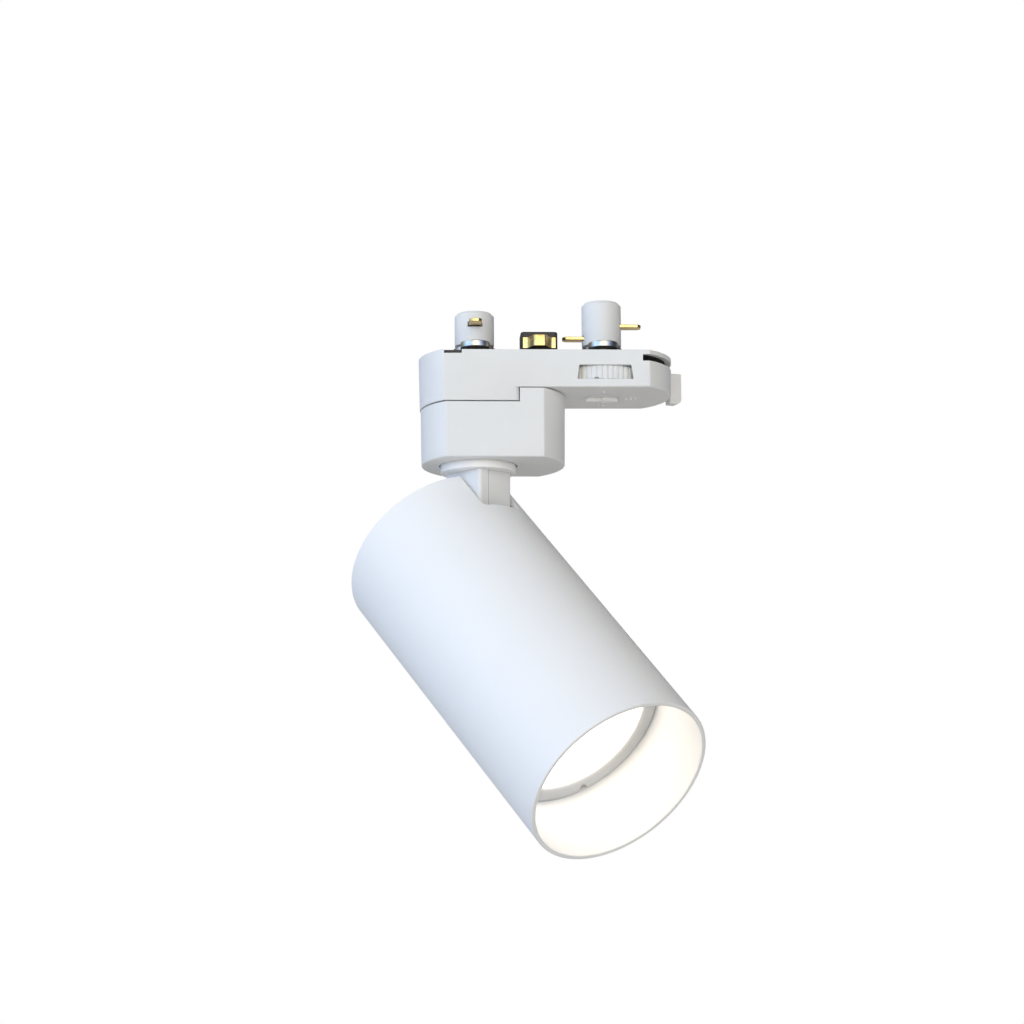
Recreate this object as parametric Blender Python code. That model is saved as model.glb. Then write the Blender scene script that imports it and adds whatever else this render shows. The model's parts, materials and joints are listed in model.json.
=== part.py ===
"""Track spotlight: a three-circuit track adapter with a pan-and-tilt tubular lamp head.

Lengths are in millimetres and scaled to metres as each mesh is made.  The origin is on the
pan axis, in the plane where the adapter's deck meets the underside of the track.  +X runs
along the track towards the adapter's nose and +Z points up into the track.
"""
import math

import bmesh
import bpy
from mathutils import Vector

MM = 0.001
GAP = 0.3                    # clearance between pieces that meet

# Aim of the lamp head
PAN = math.radians(49.9)     # clockwise from +X, seen from above
TILT = math.radians(45.8)    # from straight down

# Adapter, upper moulding
WALL = 1.5
DRAFT = 0.24
LEFT_X = 4.66
LEFT_R = 23.0
NOSE_X = 39.1                # also the axis of the selector and of the lock
NOSE_R = 21.6
HALF_WIDTH = 16.6
NOSE_DEPTH = 11.83
DEEP_DEPTH = 16.1
STEP_X = 12.3
STEP_CORNER = 1.8
SLIT_TOP, SLIT_BOTTOM = -1.4, -3.5
SLIT_START_X = 50.8

# Lower housing
BOX_R = 22.43
BOX_HALF_WIDTH = 16.5
BOX_TOP, BOX_RISE_TOP, BOX_BOTTOM = -16.5, -12.15, -33.95
BOX_FLOOR = 2.6

# In-track parts
GUIDE_HALF_WIDTH = 7.8
REAR_X = -1.0                # axis of the neutral turret
TURRET_HOLE_R = 7.0
CRANK_R = 7.0
CRANK_ANGLE = math.radians(54)
REACH = 12.4                 # from a turret's axis to a contact's or a cam's tip
LEVER_ANGLE = math.radians(18.5)
LEVER_START, LEVER_END = math.radians(9.5), math.radians(48)      # the lever's wall segment
WALL_GAP_START, WALL_GAP_END = math.radians(8), math.radians(58)  # the housing's way for it

# Swivel and neck
DISC_R = 11.8
DISC_BOTTOM = -36.3
DISC_RECESS = 1.45
NECK_X, NECK_Y = 16.1, 13.56
NECK_SEAM_Y = -3.0
PIVOT_Z = -78.36
NECK_END_R = 5.0

# Lamp head, in its own frame: origin on the tilt axis, +Z towards the rear, front at -Z
TUBE_R = 30.0
TUBE_WALL = 1.4
TUBE_REAR, TUBE_FRONT = 28.4, -86.0
SLOT_HALF_WIDTH, SLOT_DEPTH, SLOT_CORNER = 7.75, 15.5, 1.5
RING_FRONT = -60.5
RING_HOLE_R = 24.0
NOTCH_ANGLE, NOTCH_DEPTH = math.radians(142), 1.3
LAMP_BASE = -15.4
CARRIER_REAR = -5.6
CARRIER_SHEET = 1.2
EAR_INNER, EAR_OUTER = 7.1, 8.4

PALETTE = {
    # name: (colour, roughness, metallic)
    "white_plastic": ((0.76, 0.77, 0.78), 0.45, 0.0),
    "white_paint": ((0.88, 0.89, 0.90), 0.38, 0.0),
    "grey_plastic": ((0.62, 0.63, 0.64), 0.50, 0.0),
    "black_plastic": ((0.03, 0.03, 0.03), 0.45, 0.0),
    "steel": ((0.62, 0.62, 0.60), 0.32, 1.0),
    "brass": ((0.78, 0.60, 0.28), 0.30, 1.0),
    "ceramic": ((0.86, 0.84, 0.78), 0.40, 0.0),
    "warm_glass": ((1.00, 0.93, 0.80), 0.15, 0.0),
    "led": ((1.00, 0.80, 0.35), 0.40, 0.0),
}


# ---------------------------------------------------------------- outlines

def arc(centre_x, centre_y, radius, start, end, steps):
    """Points along an arc, both ends included."""
    points = []
    for index in range(steps + 1):
        angle = start + (end - start) * index / steps
        points.append((centre_x + radius * math.cos(angle), centre_y + radius * math.sin(angle)))
    return points


def clipped_arc(centre_x, radius, half_width, turn, steps):
    """The part of a circle between two flats parallel to X, facing +X or, turned by pi, -X."""
    reach = math.asin(half_width / radius)
    return arc(centre_x, 0.0, radius, turn - reach, turn + reach, steps)


def long_outline(grow, steps=14):
    """The adapter's whole plan, with every wall moved out by grow."""
    right = clipped_arc(NOSE_X, NOSE_R + grow, HALF_WIDTH + grow, 0.0, steps)
    return right + clipped_arc(LEFT_X, LEFT_R + grow, HALF_WIDTH + grow, math.pi, steps)


def deep_outline(grow, end_x, corner, steps=14):
    """The plan of the adapter's deep end: a round left side and a straight right side."""
    edge = HALF_WIDTH + grow
    points = arc(end_x - corner, -edge + corner, corner, -math.pi / 2, 0.0, 4)
    points += arc(end_x - corner, edge - corner, corner, 0.0, math.pi / 2, 4)
    return points + clipped_arc(LEFT_X, LEFT_R + grow, edge, math.pi, steps)


def box_outline(grow, steps=14):
    """The lower housing's plan: a circle with two flats."""
    right = clipped_arc(LEFT_X, BOX_R + grow, BOX_HALF_WIDTH + grow, 0.0, steps)
    return right + clipped_arc(LEFT_X, BOX_R + grow, BOX_HALF_WIDTH + grow, math.pi, steps)


def round_rect(x0, x1, y0, y1, radius, steps=3):
    """A rectangle with round corners, counter-clockwise."""
    corners = ((x1, y0, -0.5, -1, 1), (x1, y1, 0.0, -1, -1), (x0, y1, 0.5, 1, -1), (x0, y0, 1.0, 1, 1))
    points = []
    for x, y, turn, to_x, to_y in corners:
        start = turn * math.pi
        points += arc(x + to_x * radius, y + to_y * radius, radius, start, start + math.pi / 2, steps)
    return points


def circle(x, y, radius, steps):
    return arc(x, y, radius, 0.0, 2 * math.pi * (steps - 1) / steps, steps - 1)


def polar(angle, radius, x=0.0, y=0.0):
    return (x + radius * math.cos(angle), y + radius * math.sin(angle))


# ---------------------------------------------------------------- objects

def finish(name, kind):
    """A Principled material for one sub-part."""
    colour, roughness, metallic = PALETTE[kind]
    material = bpy.data.materials.new(name + "_finish")
    material.use_nodes = True
    shader = material.node_tree.nodes["Principled BSDF"]
    shader.inputs["Base Color"].default_value = (*colour, 1.0)
    shader.inputs["Roughness"].default_value = roughness
    shader.inputs["Metallic"].default_value = metallic
    material.diffuse_color = (*colour, 1.0)
    return material


def place(name, bm, kind, parent):
    """Turn a bmesh in millimetres into an object; kind None makes a hidden cutter."""
    bmesh.ops.recalc_face_normals(bm, faces=bm.faces)
    bmesh.ops.scale(bm, vec=Vector((MM, MM, MM)), verts=bm.verts)
    mesh = bpy.data.meshes.new(name)
    bm.to_mesh(mesh)
    bm.free()
    mesh.shade_smooth()
    mesh.set_sharp_from_angle(angle=math.radians(30))
    thing = bpy.data.objects.new(name, mesh)
    bpy.context.scene.collection.objects.link(thing)
    thing.parent = parent
    if kind is None:
        thing.hide_render = True
        thing.display_type = "WIRE"
    else:
        mesh.materials.append(finish(name, kind))
    return thing


def loft(name, loops, kind=None, parent=None):
    """A closed solid through loops of equal length, each given as (outline, z)."""
    bm = bmesh.new()
    rings = []
    for outline, z in loops:
        rings.append([bm.verts.new((x, y, z)) for x, y in outline])
    for low, high in zip(rings, rings[1:]):
        for index in range(len(low)):
            after = (index + 1) % len(low)
            bm.faces.new((low[index], low[after], high[after], high[index]))
    bm.faces.new(rings[0])
    bm.faces.new(rings[-1])
    return place(name, bm, kind, parent)


def prism(name, outline, z0, z1, kind=None, parent=None):
    return loft(name, ((outline, z0), (outline, z1)), kind, parent)


def block(name, x0, x1, y0, y1, z0, z1, kind=None, parent=None):
    return prism(name, ((x0, y0), (x1, y0), (x1, y1), (x0, y1)), z0, z1, kind, parent)


def side_prism(name, profile, y0, y1, kind=None, parent=None):
    """A profile in the XZ plane, extruded along Y."""
    bm = bmesh.new()
    near = [bm.verts.new((x, y0, z)) for x, z in profile]
    far = [bm.verts.new((x, y1, z)) for x, z in profile]
    for index in range(len(profile)):
        after = (index + 1) % len(profile)
        bm.faces.new((near[index], near[after], far[after], far[index]))
    bm.faces.new(near)
    bm.faces.new(far)
    return place(name, bm, kind, parent)


def end_prism(name, profile, x0, x1, kind=None, parent=None):
    """A profile in the YZ plane, extruded along X."""
    bm = bmesh.new()
    near = [bm.verts.new((x0, y, z)) for y, z in profile]
    far = [bm.verts.new((x1, y, z)) for y, z in profile]
    for index in range(len(profile)):
        after = (index + 1) % len(profile)
        bm.faces.new((near[index], near[after], far[after], far[index]))
    bm.faces.new(near)
    bm.faces.new(far)
    return place(name, bm, kind, parent)


def turned(name, profile, steps, kind=None, parent=None, x=0.0, y=0.0, along_y=False):
    """Turn a closed (radius, height) profile about a line parallel to Z, or to Y."""
    bm = bmesh.new()
    rings = []
    for radius, height in profile:
        ring = []
        for index in range(1 if radius == 0 else steps):
            angle = 2 * math.pi * index / steps
            across, up = radius * math.cos(angle), radius * math.sin(angle)
            spot = (x + across, height, up) if along_y else (x + across, y + up, height)
            ring.append(bm.verts.new(spot))
        rings.append(ring)
    for first, second in zip(rings, rings[1:] + rings[:1]):
        if len(first) == 1 and len(second) == 1:
            continue
        for index in range(steps):
            after = (index + 1) % steps
            corners = []
            for ring, place_at in ((first, index), (first, after), (second, after), (second, index)):
                corner = ring[place_at % len(ring)]
                if corner not in corners:
                    corners.append(corner)
            bm.faces.new(corners)
    return place(name, bm, kind, parent)


def boolean(thing, other, operation):
    modifier = thing.modifiers.new(operation.lower(), "BOOLEAN")
    modifier.operation = operation
    modifier.solver = "EXACT"
    modifier.object = other


def cut(thing, *cutters):
    for cutter in cutters:
        boolean(thing, cutter, "DIFFERENCE")


def unite(thing, *others):
    for other in others:
        boolean(thing, other, "UNION")


def sector(centre_x, inner, outer, start, end, steps):
    """An outline between two radii and two angles."""
    return arc(centre_x, 0.0, outer, start, end, steps) + arc(centre_x, 0.0, inner, end, start, steps)


def axis_empty(name, spot, parent=None, rotation=(0.0, 0.0, 0.0)):
    empty = bpy.data.objects.new(name, None)
    bpy.context.scene.collection.objects.link(empty)
    empty.location = Vector(spot) * MM
    empty.rotation_euler = rotation
    empty.parent = parent
    return empty


def pan_head_screw(name, x, y, top, head_r, head_h, shank_r, length, parent):
    """A screw pointing down, with a cross slot in its head."""
    profile = ((0.0, top), (head_r * 0.8, top), (head_r, top - head_h * 0.4), (head_r, top - head_h),
               (shank_r, top - head_h), (shank_r, top - length + shank_r), (0.0, top - length))
    screw = turned(name, profile, 16, "steel", parent, x, y)
    arm, half, deep = head_r * 0.6, 0.22, head_h * 0.5
    for turn, (wide, tall) in enumerate(((arm, half), (half, arm))):
        cut(screw, block(f"{name}_slot_{turn}", x - wide, x + wide, y - tall, y + tall,
                         top - deep, top + 1.0, None, parent))
    return screw


# ---------------------------------------------------------------- adapter (held by the track)

SCREW_SPOTS = ((22.0, -12.6), (-8.0, -12.6), (14.0, 12.6), (-8.0, 12.6))


def make_adapter_housing():
    """The upper moulding: a shallow nose, a deep end, and walls that are open at the top."""
    housing = loft("adapter_housing", ((long_outline(0.0), -NOSE_DEPTH), (long_outline(DRAFT), 0.0)),
                   "white_plastic")
    deep = loft("deep_end", ((deep_outline(0.0, STEP_X, STEP_CORNER), -DEEP_DEPTH),
                             (deep_outline(DRAFT, STEP_X, STEP_CORNER), -1.0)))
    unite(housing, deep)
    cut(housing, prism("nose_cavity", long_outline(-WALL), -NOSE_DEPTH + WALL, 2.0))
    cut(housing, prism("deep_cavity", deep_outline(-WALL, STEP_X - WALL, STEP_CORNER), -20.0, 1.0))
    for index, (x, y) in enumerate(SCREW_SPOTS):
        unite(housing, prism(f"boss_{index}", circle(x, y, 2.9, 16), -9.0, SLIT_TOP - GAP))
        cut(housing, prism(f"boss_hole_{index}", circle(x, y, 1.2, 10), -8.4, 1.0))
    cut_selector_windows(housing)
    cut_lever_way(housing)
    cut(housing, prism("dial_hole", circle(NOSE_X, 0.0, 5.45, 28), -20.0, -9.0))
    cut(housing, block("top_notch", -11.05, -5.5, -20.0, -12.0, -1.25, 3.0))
    add_phase_dots(housing)


def cut_selector_windows(housing):
    """A window on each side for a finger on the wheel, and a tooth that the wheel is read against."""
    profile = ((30.3, -9.35), (47.9, -9.35), (47.2, -4.73), (31.0, -4.73))
    cut(housing, side_prism("near_window", profile, -20.0, -12.0))
    cut(housing, side_prism("far_window", profile, 12.0, 20.0))
    face = -(HALF_WIDTH + 0.05)
    unite(housing, side_prism("index_tooth", ((38.6, -9.8), (39.8, -9.8), (39.4, -8.9), (39.0, -8.9)),
                              face, face + 0.32))


def cut_lever_way(housing):
    """The slit that the lever's plate turns in, and the part of the end wall that the lever fills."""
    near_end = arc(NOSE_X, 0.0, 30.0, math.radians(-50), math.radians(115), 12)
    way = [(SLIT_START_X, -9.0), (SLIT_START_X, -25.0)] + near_end + [(28.5, 25.0), (28.5, 9.0)]
    cut(housing, prism("lever_slit", way, SLIT_BOTTOM, SLIT_TOP))
    wall = sector(NOSE_X, NOSE_R - WALL - 0.2, 26.0, WALL_GAP_START, WALL_GAP_END, 6)
    cut(housing, prism("lever_wall_gap", wall, -NOSE_DEPTH + WALL - 0.05, SLIT_TOP - 1.0))


def add_phase_dots(housing):
    """Raised dots on the underside: one, two and three for the three circuits."""
    spots = [(NOSE_X, -10.0), (NOSE_X - 0.8, 10.0), (NOSE_X + 0.8, 10.0)]
    spots += [(NOSE_X + 7.5 + 1.5 * index, 0.0) for index in range(3)]
    for index, (x, y) in enumerate(spots):
        unite(housing, loft(f"dot_{index}", ((circle(x, y, 0.3, 8), -NOSE_DEPTH - 0.3),
                                             (circle(x, y, 0.5, 8), -NOSE_DEPTH + 0.4))))


def make_lower_housing():
    """The cup below the seam, with a wall that rises under the nose and the swivel's floor."""
    cup = loft("lower_housing", ((box_outline(0.0), BOX_BOTTOM), (box_outline(DRAFT), BOX_RISE_TOP)),
               "white_plastic")
    cut(cup, block("rise_cut", -30.0, STEP_X + GAP, -30.0, 30.0, BOX_TOP, 0.0))
    cut(cup, prism("cup_cavity", box_outline(-WALL), BOX_BOTTOM + BOX_FLOOR, 0.0))
    recess = circle(0.0, 0.0, DISC_R + 0.45, 40)
    cut(cup, prism("disc_recess", recess, BOX_BOTTOM - 2.0, BOX_BOTTOM + DISC_RECESS))
    cut(cup, prism("swivel_hole", circle(0.0, 0.0, 5.35, 24), BOX_BOTTOM - 2.0, BOX_BOTTOM + 4.0))
    unite(cup, block("stop_post", -11.8, -9.8, -0.75, 0.75, BOX_BOTTOM + 2.0, -29.4))


def make_track_guide():
    """The insulating deck with the bar that lies between the track's lips and a contact post."""
    inset = WALL + GAP
    guide = prism("track_guide", long_outline(-inset), SLIT_TOP, 0.0, "black_plastic")
    bar = round_rect(-13.5, 54.0, -GUIDE_HALF_WIDTH, GUIDE_HALF_WIDTH, 3.0)
    unite(guide, prism("guide_bar", bar, -1.0, 1.8))
    unite(guide, prism("contact_post", round_rect(13.4, 25.0, -4.5, 4.5, 1.2), 1.0, 8.5))
    for index, x in enumerate((NOSE_X, REAR_X)):
        cut(guide, prism(f"turret_hole_{index}", circle(x, 0.0, TURRET_HOLE_R, 28), -4.0, 4.0))
    for index, (x, y) in enumerate(SCREW_SPOTS):
        cut(guide, prism(f"guide_hole_{index}", circle(x, y, 1.2, 10), -4.0, 2.0))
        cut(guide, prism(f"guide_sink_{index}", circle(x, y, 2.1, 14), -0.8, 2.0))
        pan_head_screw(f"guide_screw_{index + 1}", x, y, 0.1, 1.8, 0.6, 0.9, 7.0, None)


def make_earth_contacts():
    """Bowed spring strips on both sides of the contact post."""
    for name, side in (("earth_contact_near", -1), ("earth_contact_far", 1)):
        outer = [(14.0, 4.8), (15.6, 4.8), (17.4, 8.6), (21.0, 8.6), (22.8, 4.8), (24.4, 4.8)]
        inner = [(x, y + 0.5) for x, y in reversed(outer)]
        outline = [(x, side * y) for x, y in outer + inner]
        prism(name, outline, 3.0, 6.5, "brass")


def make_detent_spring():
    """A leaf under the deck that clicks into the selector wheel's rim."""
    leaf = [(20.4, -7.0), (21.0, -7.0), (22.4, -1.5), (21.0, 4.0), (20.4, 4.0), (21.7, -1.5)]
    prism("detent_spring", leaf, -9.3, -5.4, "steel")


def make_terminal_block():
    """The connector block in the lower housing, with its three clamp screws."""
    body = prism("terminal_block", round_rect(12.5, 22.0, -10.0, 10.0, 0.8), -30.6, -21.0, "black_plastic")
    for index, y in enumerate((-6.5, 0.0, 6.5)):
        cut(body, prism(f"terminal_well_{index}", circle(17.2, y, 2.1, 14), -27.0, -15.0))
        cut(body, end_prism(f"wire_way_{index}", circle(y, -28.6, 1.1, 10), 8.0, 19.0))
        pan_head_screw(f"terminal_screw_{index + 1}", 17.2, y, -22.0, 1.7, 1.2, 1.1, 4.4, None)


# ---------------------------------------------------------------- lock (turned by the lever)

def make_lock_cam(name, axis):
    """A sleeve through the deck with two wings that go over the track's lips."""
    half = 4.6
    tip = REACH - half
    wings = arc(0.0, tip, half, 0.0, math.pi, 8) + arc(0.0, -tip, half, math.pi, 2 * math.pi, 8)
    cam = prism(name, wings, 2.1, 4.1, "steel", axis)
    unite(cam, prism(name + "_sleeve", circle(0.0, 0.0, 6.6, 28), -1.4, 3.5, None, axis))
    cut(cam, prism(name + "_bore", circle(0.0, 0.0, 3.4, 24), -4.0, 6.0, None, axis))


def make_lock_lever(axis):
    """The plate in the slit, its hub, the wall segment at the end of the nose, and the finger tab."""
    top, bottom = SLIT_TOP - GAP, SLIT_BOTTOM + GAP
    rim = NOSE_R + 0.12
    plate = arc(0.0, 0.0, rim - 0.7, LEVER_START + 0.03, LEVER_END - 0.03, 10)
    plate += arc(0.0, 0.0, 9.0, LEVER_END, LEVER_START + 2 * math.pi, 22)
    lever = prism("lock_lever", plate, bottom, top, "white_plastic", axis)
    cut(lever, prism("lever_bore", circle(0.0, 0.0, 3.5, 24), -6.0, 2.0, None, axis))
    segment = sector(0.0, NOSE_R - WALL, rim, LEVER_START, LEVER_END, 10)
    unite(lever, prism("lever_wall", segment, -10.1, top - 0.3, None, axis))
    unite(lever, finger_tab(axis))
    unite(lever, crank_pin("lever_pin", axis))


def crank_pin(name, axis):
    """The pin under a crank that the link bar goes on."""
    x, y = polar(CRANK_ANGLE, CRANK_R)
    return prism(name, circle(x, y, 1.2, 12), -5.2, -2.4, None, axis)


def finger_tab(axis):
    """A radial blade outside the nose, with a round lower corner."""
    inner, outer, half = NOSE_R - 0.4, 26.5, 1.9
    top, low, step_up, corner = SLIT_BOTTOM + 0.26, -NOSE_DEPTH, -9.9, 1.8
    free = NOSE_R + 0.9
    profile = [(inner, top), (inner, step_up), (free, step_up), (free, low)]
    profile += arc(outer - corner, low + corner, corner, -math.pi / 2, 0.0, 5)
    profile += [(outer, top)]
    tab = side_prism("finger_tab", profile, -half, half, None, axis)
    tab.rotation_euler = (0.0, 0.0, LEVER_ANGLE)
    return tab


def make_link_bar(axis):
    """The strip that turns the neutral turret with the lever."""
    far = REAR_X - NOSE_X
    outline = arc(0.0, 0.0, 2.4, -math.pi / 2, math.pi / 2, 8)
    outline += arc(far, 0.0, 2.4, math.pi / 2, 1.5 * math.pi, 8)
    bar = prism("link_bar", outline, -4.6, -3.5, "steel", axis)
    for index, x in enumerate((0.0, far)):
        cut(bar, prism(f"link_hole_{index}", circle(x, 0.0, 1.5, 16), -8.0, 0.0, None, axis))


def make_neutral_turret(axis):
    """The rear turret: crank, shaft, barrel and the neutral contact."""
    crank = ((0.0, -3.2), (9.6, -3.2), (9.6, -1.7), (3.1, -1.7), (3.1, 4.4), (6.2, 4.4),
             (6.2, 14.0), (5.2, 15.0), (0.0, 15.0))
    turret = turned("neutral_turret", crank, 24, "white_plastic", axis)
    unite(turret, crank_pin("turret_pin", axis))
    cut_contact_seat(turret, "neutral", axis, -math.pi / 2, 10.5)
    contact_tongue("neutral_contact", axis, -math.pi / 2, 10.5)


def contact_tongue(name, axis, angle, z):
    """A contact blade that stands out of a turret."""
    half, seat = 2.0, 3.2
    outline = [(seat, -half), (REACH - 1.0, -half), (REACH, -half + 1.0), (REACH, half - 1.0),
               (REACH - 1.0, half), (seat, half)]
    tongue = prism(name, outline, z - 0.5, z + 0.5, "brass", axis)
    tongue.rotation_euler = (0.0, 0.0, angle)


def cut_contact_seat(barrel, label, axis, angle, z):
    """The pocket in a turret that holds a contact blade."""
    half = 2.0 + GAP
    low, high = z - 0.5 - GAP, z + 0.5 + GAP
    pocket = block(label + "_seat", 3.2 - GAP, 12.0, -half, half, low, high, None, axis)
    pocket.rotation_euler = (0.0, 0.0, angle)
    cut(barrel, pocket)


# ---------------------------------------------------------------- phase selector

def make_selector_wheel(axis):
    """The ribbed wheel, with its dial and arrow coming out of the underside."""
    bottom, top, web = -9.2, -4.9, -7.6
    profile = ((0.0, -12.4), (4.9, -12.4), (5.1, -12.2), (5.1, bottom), (15.4, bottom), (15.4, top),
               (13.6, top), (13.6, web), (6.0, web), (6.0, -5.6), (3.4, -5.6), (3.4, -9.6), (0.0, -9.6))
    wheel = turned("selector_wheel", profile, 36, "white_plastic", axis)
    cut(wheel, block("rim_mark", -3.3, -2.1, -18.0, -14.6, -10.0, -8.5, None, axis))
    unite(wheel, knurled_rim(bottom, top, axis))
    arrow = [(-5.0, -0.9), (0.0, -0.9), (0.0, -2.4), (4.9, -0.3), (4.9, 0.3), (0.0, 2.4), (0.0, 0.9),
             (-5.0, 0.9)]
    unite(wheel, prism("pointer", arrow, -13.0, -12.0, None, axis))


def knurled_rim(bottom, top, axis):
    """The band of ribs round the wheel."""
    ribs, outer, root = 58, 16.1, 15.6
    outline = []
    for index in range(ribs):
        outline.append(polar(2 * math.pi * index / ribs, outer))
        outline.append(polar(2 * math.pi * (index + 0.5) / ribs, root))
    rim = prism("knurl", outline, bottom, top, None, axis)
    cut(rim, prism("knurl_bore", circle(0.0, 0.0, 14.5, 28), -20.0, 0.0, None, axis))
    cut(rim, block("knurl_mark", -3.3, -2.1, -18.0, -14.0, -10.0, -8.5, None, axis))
    return rim


def make_phase_drum(axis):
    """The shaft through the lock and the barrel with one contact for each circuit."""
    profile = ((0.0, -9.3), (3.1, -9.3), (3.1, 4.4), (6.2, 4.4), (6.2, 17.5), (5.2, 18.5), (0.0, 18.5))
    drum = turned("phase_drum", profile, 24, "white_plastic", axis)
    for index, (angle, z) in enumerate(((math.pi, 7.0), (0.0, 11.0), (math.pi / 2, 15.0))):
        cut_contact_seat(drum, f"phase_{index + 1}", axis, angle, z)
        contact_tongue(f"phase_contact_{index + 1}", axis, angle, z)


# ---------------------------------------------------------------- swivel and neck (pan)

def make_swivel(pan):
    """The disc under the housing and the hollow stud, washers and nut that hold it."""
    low, high = DISC_BOTTOM, BOX_BOTTOM + DISC_RECESS - GAP
    profile = ((5.3, low), (DISC_R - 0.35, low), (DISC_R, low + 0.35), (DISC_R, high), (5.3, high))
    turned("swivel_disc", profile, 44, "white_paint", pan)
    turned("swivel_stud", ((3.2, -43.0), (5.0, -43.0), (5.0, -25.0), (3.2, -25.0)), 28, "steel", pan)
    floor = BOX_BOTTOM + BOX_FLOOR + GAP
    stop = turned("stop_washer", ((5.3, floor), (9.0, floor), (9.0, floor + 1.2), (5.3, floor + 1.2)),
                  32, "steel", pan)
    unite(stop, block("stop_tab", 8.0, 11.5, -0.75, 0.75, floor, floor + 1.2, None, pan))
    spring = floor + 1.5
    turned("friction_washer", ((5.3, spring), (8.2, spring + 0.5), (8.2, spring + 1.1), (5.3, spring + 0.6)),
           32, "steel", pan)
    nut = prism("swivel_nut", circle(0.0, 0.0, 8.1, 6), spring + 1.4, spring + 4.4, "steel", pan)
    cut(nut, prism("swivel_nut_bore", circle(0.0, 0.0, 5.3, 28), -40.0, -20.0, None, pan))


def neck_profile():
    """The neck's side view: straight, then drawn in to a round end about the tilt axis."""
    half = NECK_X / 2
    shoulder = math.radians(28)
    top = DISC_BOTTOM - 0.02
    lower = arc(0.0, PIVOT_Z, NECK_END_R, math.pi + shoulder, 2 * math.pi - shoulder, 12)
    return [(half, top), (-half, top), (-half, PIVOT_Z + 2.5)] + lower + [(half, PIVOT_Z + 2.5)]


def make_neck(pan):
    """Two mouldings with a seam between them, bored for the wires, the stud and the tilt bolt."""
    half = NECK_Y / 2
    shells = (("neck_cover", -half, NECK_SEAM_Y - GAP / 2), ("neck_body", NECK_SEAM_Y + GAP / 2, half))
    for name, y0, y1 in shells:
        neck = side_prism(name, neck_profile(), y0, y1, "white_plastic", pan)
        corners = round_rect(-NECK_X / 2, NECK_X / 2, -half, half, 1.2, 4)
        keep = prism(name + "_corners", corners, PIVOT_Z - 10.0, DISC_BOTTOM - GAP, None, pan)
        boolean(neck, keep, "INTERSECT")
        cut(neck, prism(name + "_stud_hole", circle(0.0, 0.0, 5.3, 24), -43.4, -30.0, None, pan))
        cut(neck, prism(name + "_wire_way", circle(0.0, 0.0, 3.2, 20), PIVOT_Z + 5.0, -40.0, None, pan))
        hole = [(x, z + PIVOT_Z) for x, z in circle(0.0, 0.0, 2.3, 16)]
        cut(neck, side_prism(name + "_bolt_hole", hole, -20.0, 20.0, None, pan))


# ---------------------------------------------------------------- lamp head (tilt)

def make_lamp_tube(head):
    """The painted tube, open at the front, slotted at the rear for the neck."""
    inner = TUBE_R - TUBE_WALL
    edge = 0.15
    profile = ((inner, TUBE_FRONT), (TUBE_R - edge, TUBE_FRONT), (TUBE_R, TUBE_FRONT + edge),
               (TUBE_R, TUBE_REAR - edge), (TUBE_R - edge, TUBE_REAR), (inner, TUBE_REAR))
    tube = turned("lamp_tube", profile, 72, "white_paint", head)
    low = TUBE_REAR - SLOT_DEPTH
    side = SLOT_HALF_WIDTH
    outline = [(side, TUBE_REAR + 5.0), (-side, TUBE_REAR + 5.0)]
    outline += arc(-side + SLOT_CORNER, low + SLOT_CORNER, SLOT_CORNER, math.pi, 1.5 * math.pi, 5)
    outline += arc(side - SLOT_CORNER, low + SLOT_CORNER, SLOT_CORNER, 1.5 * math.pi, 2 * math.pi, 5)
    cut(tube, end_prism("neck_slot", outline, 10.0, 40.0, None, head))


def make_rear_cap(head):
    """The plate that closes the rear of the tube beside the neck, on two pillars."""
    radius = TUBE_R - TUBE_WALL - GAP
    low, high = TUBE_REAR - 3.0, TUBE_REAR - 1.0
    cap = prism("rear_cap", circle(0.0, 0.0, radius, 54), low, high, "white_plastic", head)
    cut(cap, block("cap_slot", -9.2, 40.0, -7.6, 7.6, low - 2.0, high + 2.0, None, head))
    for index, side in enumerate((-1, 1)):
        x, y = -14.0, 15.5 * side
        cut(cap, prism(f"cap_hole_{index}", circle(x, y, 1.6, 12), low - 2.0, high + 2.0, None, head))
        cut(cap, prism(f"cap_sink_{index}", circle(x, y, 2.9, 16), high - 0.9, high + 2.0, None, head))
        foot, end = CARRIER_REAR + GAP, low - GAP
        pillar = prism(f"pillar_{index + 1}", circle(x, y, 3.0, 6), foot, end, "steel", head)
        cut(pillar, prism(f"pillar_bore_{index}", circle(x, y, 1.6, 12), low - 8.0, low + 2.0, None, head))
        pan_head_screw(f"cap_screw_{index + 1}", x, y, high + 0.1, 2.5, 0.7, 1.3, 7.5, head)


def make_lamp_carrier(head):
    """The pressed carrier inside the tube, with two ears for the tilt bolt."""
    radius = TUBE_R - TUBE_WALL - GAP
    rear, front, skirt = CARRIER_REAR, CARRIER_REAR - CARRIER_SHEET, CARRIER_REAR - 7.0
    carrier = prism("lamp_carrier", circle(0.0, 0.0, radius, 48), skirt, rear, "steel", head)
    hollow = circle(0.0, 0.0, radius - CARRIER_SHEET, 48)
    cut(carrier, prism("carrier_hollow", hollow, skirt - 3.0, front, None, head))
    ear = [(-6.0, rear - 0.6), (6.0, rear - 0.6)] + arc(0.0, 0.0, 6.0, 0.0, math.pi, 12)
    for label, y0, y1 in (("ear_near", -EAR_OUTER, -EAR_INNER), ("ear_far", EAR_INNER, EAR_OUTER)):
        unite(carrier, side_prism(label, ear, y0, y1, None, head))
    cut(carrier, side_prism("ear_bore", circle(0.0, 0.0, 2.3, 16), -20.0, 20.0, None, head))
    cut(carrier, prism("wire_hole", circle(15.0, 0.0, 4.0, 20), -12.0, 0.0, None, head))
    for index, y in enumerate((-10.6, 10.6)):
        cut(carrier, prism(f"holder_hole_{index}", circle(0.0, y, 1.5, 12), -12.0, 0.0, None, head))


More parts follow.
